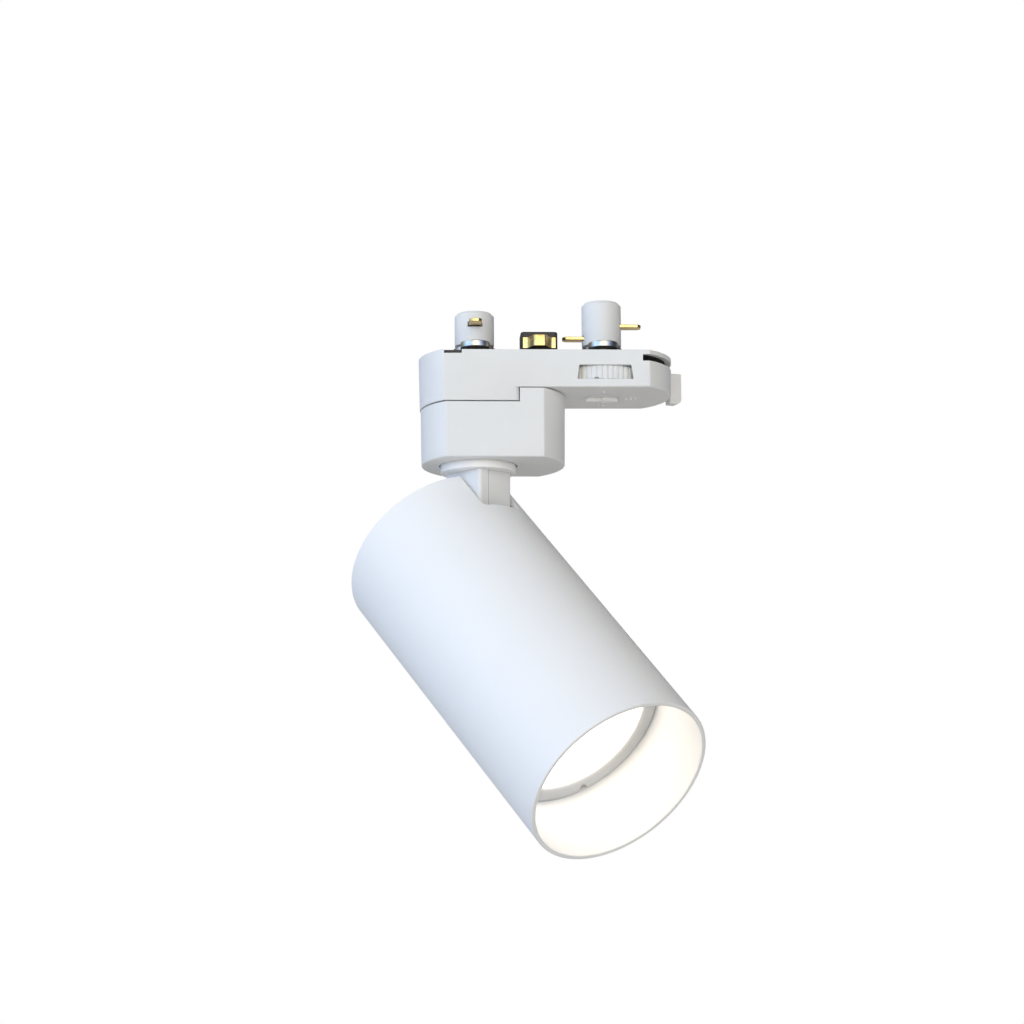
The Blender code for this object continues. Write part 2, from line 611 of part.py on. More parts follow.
def make_tilt_bolt(head):
    """The bolt through ears and neck, its nut, and a friction washer under each."""
    bolt = ((0.0, -12.0), (3.2, -12.0), (3.6, -11.6), (3.6, -9.6), (2.0, -9.6), (2.0, 13.0), (0.0, 13.0))
    head_end = turned("tilt_bolt", bolt, 20, "steel", head, along_y=True)
    cut(head_end, side_prism("bolt_socket", circle(0.0, 0.0, 1.6, 6), -14.0, -10.4, None, head))
    for name, low, high in (("tilt_washer_near", -9.3, -8.7), ("tilt_washer_far", 8.7, 9.3)):
        turned(name, ((2.3, low), (4.0, low), (4.0, high), (2.3, high)), 24, "steel", head, along_y=True)
    nut = side_prism("tilt_nut", circle(0.0, 0.0, 3.9, 6), 9.6, 12.4, "steel", head)
    cut(nut, side_prism("tilt_nut_bore", circle(0.0, 0.0, 2.3, 16), 5.0, 20.0, None, head))


def make_lampholder(head):
    """The ceramic holder with its two pin sockets, screwed to the carrier."""
    rear = CARRIER_REAR - CARRIER_SHEET - GAP
    front = LAMP_BASE + GAP
    holder = prism("lampholder", round_rect(-8.5, 8.5, -13.2, 13.2, 2.5), front, rear, "ceramic", head)
    for index, side in enumerate((-1, 1)):
        socket = circle(0.0, 5.0 * side, 2.9, 20)
        cut(holder, prism(f"pin_socket_{index}", socket, front - 3.0, -7.7, None, head))
        hole = circle(0.0, 10.6 * side, 1.5, 12)
        cut(holder, prism(f"screw_hole_{index}", hole, -13.0, rear + 2.0, None, head))
        pan_head_screw(f"holder_screw_{index + 1}", 0.0, 10.6 * side, -4.4, 1.8, 0.9, 1.1, 7.5, head)


def make_lamp(head):
    """The reflector lamp: body, front lens, light source and two twist-lock pins."""
    face = RING_FRONT + 2.3
    outside = [(24.9, face), (24.9, face + 4.0), (22.6, face + 12.0), (17.4, face + 24.0),
               (13.6, face + 32.0), (13.6, LAMP_BASE - 1.0), (12.6, LAMP_BASE), (0.0, LAMP_BASE)]
    inside = [(0.0, face + 18.0), (7.0, face + 18.0), (16.0, face + 10.8), (22.2, face + 1.7),
              (23.9, face + 1.7), (23.9, face)]
    body = turned("lamp_body", outside + inside, 36, "white_plastic", head)
    ribs = 9
    for index in range(ribs):
        angle = 2 * math.pi * (index + 0.5) / ribs
        groove = block(f"cooling_groove_{index}", 18.4, 30.0, -1.0, 1.0, face + 5.5, face + 27.0, None, head)
        groove.rotation_euler = (0.0, 0.0, angle)
        cut(body, groove)
    turned("lamp_lens", ((0.0, face + 0.2), (23.6, face + 0.2), (23.6, face + 1.4), (0.0, face + 1.4)),
           48, "warm_glass", head)
    prism("lamp_led", circle(0.0, 0.0, 5.5, 24), face + 16.5, face + 17.7, "led", head)
    for index, side in enumerate((-1, 1)):
        pin = ((0.0, LAMP_BASE + 0.3), (1.6, LAMP_BASE + 0.3), (1.6, -10.0), (2.5, -10.0),
               (2.5, -8.4), (2.1, -8.0), (0.0, -8.0))
        turned(f"lamp_pin_{index + 1}", pin, 16, "brass", head, 0.0, 5.0 * side)


def make_retaining_ring(head):
    """The ring in front of the lamp, with a V-shaped tool notch in its outer edge."""
    radius = TUBE_R - TUBE_WALL - GAP
    back, lip = RING_FRONT + 6.5, RING_FRONT + 2.0
    profile = ((RING_HOLE_R, RING_FRONT), (radius, RING_FRONT), (radius, back), (radius - 1.4, back),
               (radius - 1.4, lip), (RING_HOLE_R, lip))
    ring = turned("retaining_ring", profile, 54, "grey_plastic", head)
    outline = ((25.7, -0.3), (29.5, -2.3), (29.5, 2.3), (25.7, 0.3))
    notch = prism("tool_notch", outline, RING_FRONT - 2.0, RING_FRONT + NOTCH_DEPTH, None, head)
    notch.rotation_euler = (0.0, 0.0, NOTCH_ANGLE)
    cut(ring, notch)


def main():
    for thing in list(bpy.data.objects):
        bpy.data.objects.remove(thing, do_unlink=True)
    make_adapter_housing()
    make_lower_housing()
    make_track_guide()
    make_earth_contacts()
    make_detent_spring()
    make_terminal_block()
    lock = axis_empty("lock_axis", (NOSE_X, 0.0, 0.0))
    make_lock_lever(lock)
    make_lock_cam("lock_cam_front", lock)
    make_selector_wheel(lock)
    make_phase_drum(lock)
    make_link_bar(axis_empty("link_axis", (*polar(CRANK_ANGLE, CRANK_R), 0.0), lock))
    rear = axis_empty("rear_turret_axis", (REAR_X, 0.0, 0.0))
    make_neutral_turret(rear)
    make_lock_cam("lock_cam_rear", rear)
    pan = axis_empty("pan_axis", (0.0, 0.0, 0.0), None, (0.0, 0.0, -PAN))
    make_swivel(pan)
    make_neck(pan)
    head = axis_empty("tilt_axis", (0.0, 0.0, PIVOT_Z), pan, (0.0, -TILT, 0.0))
    make_lamp_tube(head)
    make_rear_cap(head)
    make_lamp_carrier(head)
    make_tilt_bolt(head)
    make_lampholder(head)
    make_lamp(head)
    make_retaining_ring(head)


main()
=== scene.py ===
"""Track spotlight: fine surfaces, finishes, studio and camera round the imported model.

Lengths are in millimetres and scaled to metres as each mesh is made.  The origin is on the
pan axis, in the plane of the adapter's deck.  Pieces of the lamp head are made in the head's
own frame, with +Z along the tube towards its rear, and set in place by its matrix.
"""
import json
import math

import bmesh
import bpy
from mathutils import Matrix, Vector


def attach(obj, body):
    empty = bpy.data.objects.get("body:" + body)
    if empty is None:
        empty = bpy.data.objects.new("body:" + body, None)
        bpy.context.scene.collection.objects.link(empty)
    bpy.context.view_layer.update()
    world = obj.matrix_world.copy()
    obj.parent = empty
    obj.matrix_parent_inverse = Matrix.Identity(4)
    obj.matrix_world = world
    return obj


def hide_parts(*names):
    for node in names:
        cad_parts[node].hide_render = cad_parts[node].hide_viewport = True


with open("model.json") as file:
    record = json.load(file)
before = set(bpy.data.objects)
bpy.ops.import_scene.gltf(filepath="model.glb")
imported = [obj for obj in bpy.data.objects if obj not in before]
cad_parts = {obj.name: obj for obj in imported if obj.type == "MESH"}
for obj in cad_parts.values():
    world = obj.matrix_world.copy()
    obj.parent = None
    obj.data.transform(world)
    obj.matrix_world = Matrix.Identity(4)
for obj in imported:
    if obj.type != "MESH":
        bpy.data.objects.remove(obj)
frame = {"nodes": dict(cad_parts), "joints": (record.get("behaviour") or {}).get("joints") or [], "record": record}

MM = 0.001
JOINTS = {joint["name"]: joint for joint in frame["joints"]}
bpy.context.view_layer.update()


def joint_spot(name):
    """A joint's position in millimetres."""
    return Vector(JOINTS[name]["pos_m"]) / MM


# Aim of the lamp head, from the tilt joint: its axis is level, and at its lowest limit the head
# hangs straight down
TILT_AXIS = JOINTS["tilt"]["axis"]
PAN = math.atan2(-TILT_AXIS[0], -TILT_AXIS[1])
TILT = math.radians(-JOINTS["tilt"]["range_deg"][0])
PIVOT_Z = joint_spot("tilt").z
NOSE_X = joint_spot("lock_turn").x
REAR_X = joint_spot("rear_turret_turn").x
LINK_SPOT = joint_spot("link_swing")

# Adapter
WALL = 1.5
DRAFT = 0.24
GAP = 0.3
LEFT_X, LEFT_R = 4.66, 23.0
NOSE_R = 21.6
HALF_WIDTH = 16.6
NOSE_DEPTH, DEEP_DEPTH = 11.83, 16.1
STEP_X, STEP_CORNER = 12.3, 1.8
SLIT_TOP, SLIT_BOTTOM = -1.4, -3.5
SLIT_START_X = 50.8
LEVER_ANGLE = math.radians(18.5)
LEVER_START, LEVER_END = math.radians(9.5), math.radians(48)
WALL_GAP_START, WALL_GAP_END = math.radians(8), math.radians(58)
RIM_R, RIM_RIBS, GROOVE_DEPTH = 16.1, 58, 0.35
SCREW_SPOTS = ((22.0, -12.6), (-8.0, -12.6), (14.0, 12.6), (-8.0, 12.6))
WINDOW_LEFT, WINDOW_RIGHT = 30.3, 47.9
WINDOW_BOTTOM, WINDOW_TOP, WINDOW_LEAN = -9.35, -4.73, 0.7
DOT_R, DOT_RISE, DOT_PITCH = 0.55, 0.1, 1.5
DIAL_R, DIAL_BOTTOM = 5.1, -12.05
POINTER_BOTTOM, POINTER_TOP = -13.0, -11.9
TAB_REACH, TAB_HALF_WIDTH, TAB_CORNER = 26.5, 1.9, 1.8
PIN_R, PIN_BOTTOM, PIN_TOP = 1.2, -5.2, -2.4

# What stands over the deck
TURRET_R, TURRET_STEM_R, TURRET_FOOT = 6.2, 3.1, 4.4
NEUTRAL_TOP, DRUM_TOP = 15.0, 18.5
CAM_HALF_WIDTH, CAM_REACH, CAM_BOTTOM, CAM_TOP = 4.6, 12.4, 2.1, 4.1
BLADE_HALF_WIDTH, BLADE_REACH, BLADE_SEAT = 2.0, 12.4, 3.2
NEUTRAL_Z, PHASE_HEIGHTS = 10.5, (7.0, 11.0, 15.0)
STRIP_LOW, STRIP_HIGH, STRIP_THICKNESS = 3.0, 6.5, 0.5
GUIDE_HOLE_R, GUIDE_SINK_R = 1.2, 2.1

# Lower housing, disc and neck
BOX_R, BOX_HALF_WIDTH = 22.43, 16.5
BOX_TOP, BOX_RISE_TOP, BOX_BOTTOM = -16.5, -12.15, -33.95
BOX_FLOOR = 2.6
DISC_R, DISC_BOTTOM, DISC_RECESS = 11.8, -36.3, 1.45
NECK_X, NECK_Y, NECK_SEAM_Y = 16.1, 13.56, -3.0
NECK_END_R, NECK_CORNER, BOLT_HOLE_R = 5.0, 1.2, 2.3
STUD_HOLE_R, STUD_HOLE_LOW, WIRE_WAY_R = 5.3, -43.4, 3.2

# Lamp head
TUBE_R, TUBE_WALL = 30.0, 1.4
TUBE_REAR, TUBE_FRONT = 28.4, -86.0
SLOT_HALF_WIDTH, SLOT_DEPTH, SLOT_CORNER = 7.75, 15.5, 1.5
RING_FRONT, RING_HOLE_R = -60.5, 24.0
LENS_R, LENS_RINGS, LENS_PATTERN_R = 23.6, 14, 22.4
NOTCH_ANGLE, NOTCH_DEPTH = math.radians(142), 1.3
CAP_SCREW_X, CAP_SCREW_Y = -14.0, 15.5
CAP_HOLE_R, CAP_SINK_R, CAP_SINK_DEPTH = 1.6, 2.9, 0.9

# Screws: top of the head, its radius and height, radius of the shank, and whole length
GUIDE_SCREW = (0.1, 1.8, 0.6, 0.9, 7.0)
CAP_SCREW = (TUBE_REAR - 0.9, 2.5, 0.7, 1.3, 7.5)

HEAD = (Matrix.Translation((0.0, 0.0, PIVOT_Z * MM)) @ Matrix.Rotation(-PAN, 4, "Z")
        @ Matrix.Rotation(-TILT, 4, "Y"))
SWIVEL = Matrix.Rotation(-PAN, 4, "Z")
LOCK = Matrix.Translation((NOSE_X * MM, 0.0, 0.0))
REAR = Matrix.Translation((REAR_X * MM, 0.0, 0.0))
WORLD = Matrix.Identity(4)


# ---------------------------------------------------------------- outlines

def arc(x, y, radius, start, end, steps):
    """Points along an arc, both ends included."""
    points = []
    for index in range(steps + 1):
        angle = start + (end - start) * index / steps
        points.append((x + radius * math.cos(angle), y + radius * math.sin(angle)))
    return points


def circle(x, y, radius, steps):
    return arc(x, y, radius, 0.0, 2 * math.pi * (steps - 1) / steps, steps - 1)


def rounded(points, radius, steps=4, least=math.radians(20)):
    """An outline whose corners sharper than least are rounded, as far as their sides allow."""
    result = []
    for index, spot in enumerate(points):
        corner = Vector(spot)
        back = Vector(points[index - 1]) - corner
        ahead = Vector(points[(index + 1) % len(points)]) - corner
        turn = math.pi - back.angle(ahead)
        if turn < least:
            result.append(tuple(corner))
            continue
        reach = min(radius * math.tan(turn / 2), 0.45 * back.length, 0.45 * ahead.length)
        first, last = corner + back.normalized() * reach, corner + ahead.normalized() * reach
        for step in range(steps + 1):
            part = step / steps
            low = first.lerp(corner, part)
            result.append(tuple(low.lerp(corner.lerp(last, part), part)))
    return result


def inset(points, distance):
    """An outline moved inwards by a small distance, with as many points as before."""
    area = sum(a[0] * b[1] - b[0] * a[1] for a, b in zip(points, points[1:] + points[:1]))
    side = 1.0 if area > 0 else -1.0
    result = []
    for index, spot in enumerate(points):
        corner = Vector(spot)
        before = (corner - Vector(points[index - 1])).normalized()
        after = (Vector(points[(index + 1) % len(points)]) - corner).normalized()
        along = before + after
        along.normalize()
        normal = Vector((-along.y, along.x)) * side
        reach = distance / max(math.cos(before.angle(after) / 2), 0.3)
        result.append(tuple(corner + normal * reach))
    return result


def clipped_arc(centre_x, radius, half_width, turn, steps=40):
    """The part of a circle between two flats parallel to X, facing +X or, turned by pi, -X."""
    reach = math.asin(half_width / radius)
    return arc(centre_x, 0.0, radius, turn - reach, turn + reach, steps)


def long_outline(grow):
    right = clipped_arc(NOSE_X, NOSE_R + grow, HALF_WIDTH + grow, 0.0)
    return right + clipped_arc(LEFT_X, LEFT_R + grow, HALF_WIDTH + grow, math.pi)


def deep_outline(grow, end_x):
    edge = HALF_WIDTH + grow
    points = arc(end_x - STEP_CORNER, -edge + STEP_CORNER, STEP_CORNER, -math.pi / 2, 0.0, 8)
    points += arc(end_x - STEP_CORNER, edge - STEP_CORNER, STEP_CORNER, 0.0, math.pi / 2, 8)
    return points + clipped_arc(LEFT_X, LEFT_R + grow, edge, math.pi)


def box_outline(grow):
    right = clipped_arc(LEFT_X, BOX_R + grow, BOX_HALF_WIDTH + grow, 0.0)
    return right + clipped_arc(LEFT_X, BOX_R + grow, BOX_HALF_WIDTH + grow, math.pi)


def round_rect(x0, x1, y0, y1, radius, steps=6):
    centres = ((x1 - radius, y0 + radius), (x1 - radius, y1 - radius),
               (x0 + radius, y1 - radius), (x0 + radius, y0 + radius))
    points = []
    for corner, (x, y) in enumerate(centres):
        start = (corner - 1) * math.pi / 2
        points += arc(x, y, radius, start, start + math.pi / 2, steps)
    return points


def sector(inner, outer, start, end, steps=24):
    """An outline between two radii and two angles about the origin."""
    return arc(0.0, 0.0, outer, start, end, steps) + arc(0.0, 0.0, inner, end, start, steps)


# ---------------------------------------------------------------- solids

def place(name, bm, matrix):
    """An object at the origin, whose mesh is in the row frame."""
    bmesh.ops.recalc_face_normals(bm, faces=bm.faces)
    bmesh.ops.transform(bm, matrix=matrix @ Matrix.Scale(MM, 4), verts=bm.verts)
    mesh = bpy.data.meshes.new(name)
    bm.to_mesh(mesh)
    bm.free()
    thing = bpy.data.objects.new(name, mesh)
    bpy.context.scene.collection.objects.link(thing)
    return thing


def skin(name, rings, matrix):
    """A closed solid through rings of equal length, each a list of (x, y, z)."""
    bm = bmesh.new()
    loops = [[bm.verts.new(spot) for spot in ring] for ring in rings]
    for low, high in zip(loops, loops[1:]):
        for index in range(len(low)):
            after = (index + 1) % len(low)
            bm.faces.new((low[index], low[after], high[after], high[index]))
    bm.faces.new(loops[0])
    bm.faces.new(loops[-1])
    return place(name, bm, matrix)


def slab(name, outline, z0, z1, matrix=WORLD, low_r=0.0, high_r=0.0, draft=0.0, steps=5):
    """An outline between two heights, with rounded lower and upper edges and a draft upwards."""
    levels = []
    if low_r > 0:
        for step in range(steps + 1):
            turn = math.pi / 2 * step / steps
            levels.append((low_r * (1 - math.sin(turn)), z0 + low_r * (1 - math.cos(turn))))
    else:
        levels.append((0.0, z0))
    if high_r > 0:
        for step in range(steps + 1):
            turn = math.pi / 2 * step / steps
            levels.append((high_r * (1 - math.cos(turn)), z1 - high_r * (1 - math.sin(turn))))
    else:
        levels.append((0.0, z1))
    rings = []
    for distance, z in levels:
        lean = draft * (z1 - z) / (z1 - z0)
        rings.append([(x, y, z) for x, y in inset(outline, distance + lean)])
    return skin(name, rings, matrix)


def bar_y(name, profile, y0, y1, matrix=WORLD, edge=0.0):
    """A profile in the XZ plane, extruded along Y, with both ends' edges rounded."""
    rings = []
    for y, distance in bar_levels(y0, y1, edge):
        rings.append([(x, y, z) for x, z in inset(profile, distance)])
    return skin(name, rings, matrix)


def bar_x(name, profile, x0, x1, matrix=WORLD, edge=0.0):
    """A profile in the YZ plane, extruded along X, with both ends' edges rounded."""
    rings = []
    for x, distance in bar_levels(x0, x1, edge):
        rings.append([(x, y, z) for y, z in inset(profile, distance)])
    return skin(name, rings, matrix)


def bar_levels(start, end, edge):
    """(place, inset) pairs from one end to the other, quarter rounds at both."""
    if edge == 0:
        return [(start, 0.0), (end, 0.0)]
    pairs = []
    for step in range(5):
        turn = math.pi / 2 * step / 4
        pairs.append((start + edge * (1 - math.cos(turn)), edge * (1 - math.sin(turn))))
    mirrored = [(start + end - spot, distance) for spot, distance in reversed(pairs)]
    return pairs + mirrored


def lathe(name, profile, matrix, steps=128, x=0.0, y=0.0, along_y=False):
    """A closed (radius, height) profile turned about a line parallel to Z, or to Y."""
    bm = bmesh.new()
    rings = []
    for radius, height in profile:
        ring = []
        for index in range(1 if radius < 1e-6 else steps):
            angle = 2 * math.pi * index / steps
            across, up = radius * math.cos(angle), radius * math.sin(angle)
            spot = (x + across, height, up) if along_y else (x + across, y + up, height)
            ring.append(bm.verts.new(spot))
        rings.append(ring)
    for first, second in zip(rings, rings[1:] + rings[:1]):
        if len(first) == 1 and len(second) == 1:
            continue
        for index in range(steps):
            after = (index + 1) % steps
            corners = []
            for ring, at in ((first, index), (first, after), (second, after), (second, index)):
                corner = ring[at % len(ring)]
                if corner not in corners:
                    corners.append(corner)
            bm.faces.new(corners)
    return place(name, bm, matrix)


def work(thing, others, operation):
    """Apply one boolean after another, and remove the tools."""
    for other in others:
        modifier = thing.modifiers.new(operation, "BOOLEAN")
        modifier.operation = operation
        modifier.solver = "EXACT"
        modifier.object = other
        bpy.context.view_layer.update()
        graph = bpy.context.evaluated_depsgraph_get()
        worked = bpy.data.meshes.new_from_object(thing.evaluated_get(graph))
        thing.modifiers.clear()
        thing.data = worked
        bpy.data.objects.remove(other)
    return thing


def carve(thing, *others):
    return work(thing, others, "DIFFERENCE")


def fuse(thing, *others):
    return work(thing, others, "UNION")


def keep(thing, *others):
    return work(thing, others, "INTERSECT")


def soften(thing, width, segments=2, least=38):
    """Break the sharp edges with a narrow bevel."""
    bevel = thing.modifiers.new("broken_edges", "BEVEL")
    bevel.width = width * MM
    bevel.segments = segments
    bevel.limit_method = "ANGLE"
    bevel.angle_limit = math.radians(least)
    bevel.use_clamp_overlap = True
    bevel.harden_normals = False
    return thing


def settle(thing, body, slot, finish, *nodes):
    """Shade a finished piece, give it its finish and let it ride on its body."""
    mesh = thing.data
    mesh.shade_smooth()
    mesh.set_sharp_from_angle(angle=math.radians(28))
    mesh.materials.clear()
    mesh.materials.append(finish)
    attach(thing, body)
    if nodes:
        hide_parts(*nodes)
    return thing


# ---------------------------------------------------------------- finishes

class Nodes:
    """A small helper for a material's node tree."""

    def __init__(self, name):
        self.material = bpy.data.materials.new(name)
        self.material.use_nodes = True
        self.tree = self.material.node_tree
        self.shader = self.tree.nodes["Principled BSDF"]
        self.where = self.add("ShaderNodeTexCoord").outputs["Object"]

    def add(self, kind, **inputs):
        node = self.tree.nodes.new(kind)
        for name, value in inputs.items():
            node.inputs[name.replace("_", " ")].default_value = value
        return node

    def link(self, output, node, name):
        self.tree.links.new(output, node.inputs[name])

    def noise(self, scale, detail=3.0, stretch=None):
        node = self.add("ShaderNodeTexNoise", Scale=scale, Detail=detail, Roughness=0.55)
        where = self.where
        if stretch:
            mapping = self.add("ShaderNodeMapping", Scale=stretch)
            self.link(where, mapping, "Vector")
            where = mapping.outputs["Vector"]
        self.link(where, node, "Vector")
        return node.outputs["Fac"]

    def ramp(self, value, low, high, start=0.3, end=0.7):
        """A value spread between two colours."""
        node = self.tree.nodes.new("ShaderNodeValToRGB")
        node.color_ramp.elements[0].position = start
        node.color_ramp.elements[0].color = (*low, 1.0)
        node.color_ramp.elements[1].position = end
        node.color_ramp.elements[1].color = (*high, 1.0)
        self.link(value, node, "Fac")
        return node.outputs["Color"]

    def spread(self, value, low, high):
        node = self.add("ShaderNodeMapRange", To_Min=low, To_Max=high)
        self.link(value, node, "Value")
        return node.outputs["Result"]

    def bump(self, value, strength, distance, onto=None):
        node = self.add("ShaderNodeBump", Strength=strength, Distance=distance)
        self.link(value, node, "Height")
        if onto is not None:
            self.link(onto, node, "Normal")
        return node.outputs["Normal"]


def tint(colour, amount):
    return tuple(min(1.0, part * (1.0 + amount)) for part in colour)


def moulded(name, colour, roughness, grain=2600.0, texture=0.10):
    """Injection-moulded plastic: spark-eroded grain, faint cloudiness and a few dull patches."""
    nodes = Nodes(name)
    cloud = nodes.noise(55.0)
    shade = nodes.ramp(cloud, tint(colour, -0.025), tint(colour, 0.02))
    nodes.link(shade, nodes.shader, "Base Color")
    patches = nodes.spread(nodes.noise(140.0), roughness - 0.06, roughness + 0.06)
    nodes.link(patches, nodes.shader, "Roughness")
    fine = nodes.bump(nodes.noise(grain, 2.0), texture, 0.00003)
    nodes.link(nodes.bump(nodes.noise(320.0, 2.0), 0.05, 0.00005, fine), nodes.shader, "Normal")
    nodes.shader.inputs["Specular IOR Level"].default_value = 0.4
    return nodes.material


def powder_coat(name, colour, roughness):
    """Powder coat: a low orange peel under a very fine grain."""
    nodes = Nodes(name)
    cloud = nodes.noise(30.0)
    shade = nodes.ramp(cloud, tint(colour, -0.012), tint(colour, 0.01))
    nodes.link(shade, nodes.shader, "Base Color")
    patches = nodes.spread(nodes.noise(420.0), roughness - 0.05, roughness + 0.05)
    nodes.link(patches, nodes.shader, "Roughness")
    peel = nodes.bump(nodes.noise(700.0, 1.0), 0.08, 0.00008)
    nodes.link(nodes.bump(nodes.noise(3400.0, 2.0), 0.12, 0.00002, peel), nodes.shader, "Normal")
    nodes.shader.inputs["Specular IOR Level"].default_value = 0.35
    return nodes.material


def metal(name, colour, roughness, stretch, stain):
    """Plated or plain sheet metal, brushed along one direction, with a darker film in places."""
    nodes = Nodes(name)
    film = nodes.noise(260.0, 4.0)
    nodes.link(nodes.ramp(film, stain, colour, 0.32, 0.56), nodes.shader, "Base Color")
    nodes.shader.inputs["Metallic"].default_value = 1.0
    brushed = nodes.noise(900.0, 3.0, stretch)
    nodes.link(nodes.spread(brushed, roughness - 0.08, roughness + 0.12), nodes.shader, "Roughness")
    nodes.link(nodes.bump(brushed, 0.15, 0.00002), nodes.shader, "Normal")
    return nodes.material


def fired_ceramic(name, colour):
    """Unglazed ceramic: cream body with fine dark specks and a chalky surface."""
    nodes = Nodes(name)
    specks = nodes.noise(1900.0, 1.0)
    shade = nodes.ramp(specks, tint(colour, -0.25), colour, 0.27, 0.36)
    nodes.link(shade, nodes.shader, "Base Color")
    nodes.shader.inputs["Roughness"].default_value = 0.62
    nodes.link(nodes.bump(nodes.noise(1200.0), 0.2, 0.00005), nodes.shader, "Normal")
    return nodes.material


def lit_lens(name, colour, strength):
    """Frosted lens, lit from behind, with a fine prismatic ripple."""
    nodes = Nodes(name)
    nodes.shader.inputs["Base Color"].default_value = (*colour, 1.0)
    nodes.shader.inputs["Roughness"].default_value = 0.35
    ripple = nodes.noise(500.0, 1.0)
    nodes.link(nodes.ramp(ripple, tint(colour, -0.05), colour), nodes.shader, "Emission Color")
    nodes.shader.inputs["Emission Strength"].default_value = strength
    nodes.link(nodes.bump(ripple, 0.2, 0.0001), nodes.shader, "Normal")
    return nodes.material


def lit_phosphor(name, colour, strength):
    """The light source: a yellow phosphor film over a grid of chips."""
    nodes = Nodes(name)
    grid = nodes.add("ShaderNodeTexVoronoi", Scale=900.0)
    nodes.link(nodes.where, grid, "Vector")
    shade = nodes.ramp(grid.outputs["Distance"], colour, tint(colour, -0.2), 0.2, 0.8)
    nodes.link(shade, nodes.shader, "Base Color")
    nodes.link(shade, nodes.shader, "Emission Color")
    nodes.shader.inputs["Emission Strength"].default_value = strength
    return nodes.material


FINISHES = {
    "white_plastic": moulded("white_polycarbonate", (0.79, 0.80, 0.80), 0.48),
    "white_paint": powder_coat("white_powder_coat", (0.88, 0.89, 0.90), 0.46),
    # Painted light: a lighter copy of the white powder coat for the disc, the dial's pointer and the circuit dots.
    # Its extra lightness stands in for the light they catch.
    "painted_light_paint": powder_coat("painted_light_white_powder_coat", (0.96, 0.96, 0.96), 0.38),
    "grey_plastic": moulded("grey_polyamide", (0.62, 0.63, 0.64), 0.50),
    "black_plastic": moulded("black_polyamide", (0.03, 0.03, 0.03), 0.45),
    "steel": metal("zinc_plate", (0.62, 0.62, 0.60), 0.32, (1.0, 1.0, 0.08), (0.42, 0.42, 0.42)),
    "brass": metal("brass_strip", (0.78, 0.60, 0.28), 0.28, (0.1, 1.0, 1.0), (0.50, 0.36, 0.16)),
    "ceramic": fired_ceramic("cream_ceramic", (0.86, 0.84, 0.78)),
    "lens": lit_lens("lit_lens", (1.0, 0.92, 0.82), 2.0),
    "led": lit_phosphor("lit_phosphor", (1.0, 0.80, 0.45), 4.0),
}
PAINT = FINISHES["white_paint"]
PLASTIC = FINISHES["white_plastic"]
# The white paint made lighter: painted light
PAINTED_LIGHT_PAINT = FINISHES["painted_light_paint"]
GREY = FINISHES["grey_plastic"]
STEEL = FINISHES["steel"]
BRASS = FINISHES["brass"]


def finish_cad_nodes():
    """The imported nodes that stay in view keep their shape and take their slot's finish."""
    for part in frame["record"]["subparts"]:
        node = frame["nodes"][part["node"]]
        node.data.materials.clear()
        node.data.materials.append(FINISHES[part["material_slot"]])


# ---------------------------------------------------------------- adapter

def make_adapter():
    """The upper moulding: a shallow nose, a deep end, and what opens in them."""
    lean = DRAFT * DEEP_DEPTH / NOSE_DEPTH
    outline = rounded(long_outline(DRAFT), 1.2, 6)
    housing = slab("adapter_moulding", outline, -DEEP_DEPTH, 0.0, WORLD, 0.12, 0.15, lean)
    carve(housing, slab("under_nose", step_outline(), -DEEP_DEPTH - 5.0, -NOSE_DEPTH))
    round_nose_edge(housing, 0.75)
    carve(housing, slab("nose_cavity", long_outline(-WALL), -NOSE_DEPTH + WALL, 2.0))
    carve(housing, slab("deep_cavity", deep_outline(-WALL - 0.1, STEP_X - WALL), -20.0, 1.0))
    open_windows(housing)
    open_lever_way(housing)
    carve(housing, slab("dial_hole", circle(NOSE_X, 0.0, DIAL_R + 0.15, 72), -20.0, -9.0))
    notch = round_rect(-11.05, -5.5, -20.0, -12.0, 0.3)
    carve(housing, slab("top_notch", notch, -1.25, 3.0))
    face = -(HALF_WIDTH + 0.05)
    tooth = [(38.55, -9.8), (39.85, -9.8), (39.4, -8.8), (39.0, -8.8)]
    fuse(housing, bar_y("index_tooth", rounded(tooth, 0.15), face, face + 0.4))
    soften(housing, 0.12)
    settle(housing, "adapter", "white_plastic", PLASTIC, "adapter_housing")


def open_windows(housing):
    """Windows in both sides, where a finger turns the wheel: a little narrower at the top."""
    window = [(WINDOW_LEFT, WINDOW_BOTTOM), (WINDOW_RIGHT, WINDOW_BOTTOM),
              (WINDOW_RIGHT - WINDOW_LEAN, WINDOW_TOP), (WINDOW_LEFT + WINDOW_LEAN, WINDOW_TOP)]
    window = rounded(window, 0.35)
    carve(housing, bar_y("near_window", window, -20.0, -12.0))
    carve(housing, bar_y("far_window", window, 12.0, 20.0))


def open_lever_way(housing):
    """The slit round the nose for the lever's plate, and the gap under it for its wall."""
    sweep = arc(NOSE_X, 0.0, 30.0, math.radians(-50), math.radians(115), 12)
    way = [(SLIT_START_X, -9.0), (SLIT_START_X, -25.0)] + sweep + [(28.5, 25.0), (28.5, 9.0)]
    carve(housing, slab("lever_slit", way, SLIT_BOTTOM, SLIT_TOP))
    gap = sector(NOSE_R - WALL - 0.2, 26.0, WALL_GAP_START, WALL_GAP_END)
    gap = [(NOSE_X + x, y) for x, y in gap]
    carve(housing, slab("lever_wall_gap", gap, -NOSE_DEPTH + WALL - 0.05, SLIT_TOP - 1.0))


def step_outline():
    """What is cut away under the nose: it leaves the deep end's upright corners round."""
    edge = HALF_WIDTH + 0.03
    centre = STEP_X - STEP_CORNER
    outline = [(centre, -40.0), (80.0, -40.0), (80.0, 40.0), (centre, 40.0)]
    outline += arc(centre, edge - STEP_CORNER, STEP_CORNER, math.pi / 2, 0.0, 10)
    return outline + arc(centre, -edge + STEP_CORNER, STEP_CORNER, 0.0, -math.pi / 2, 10)


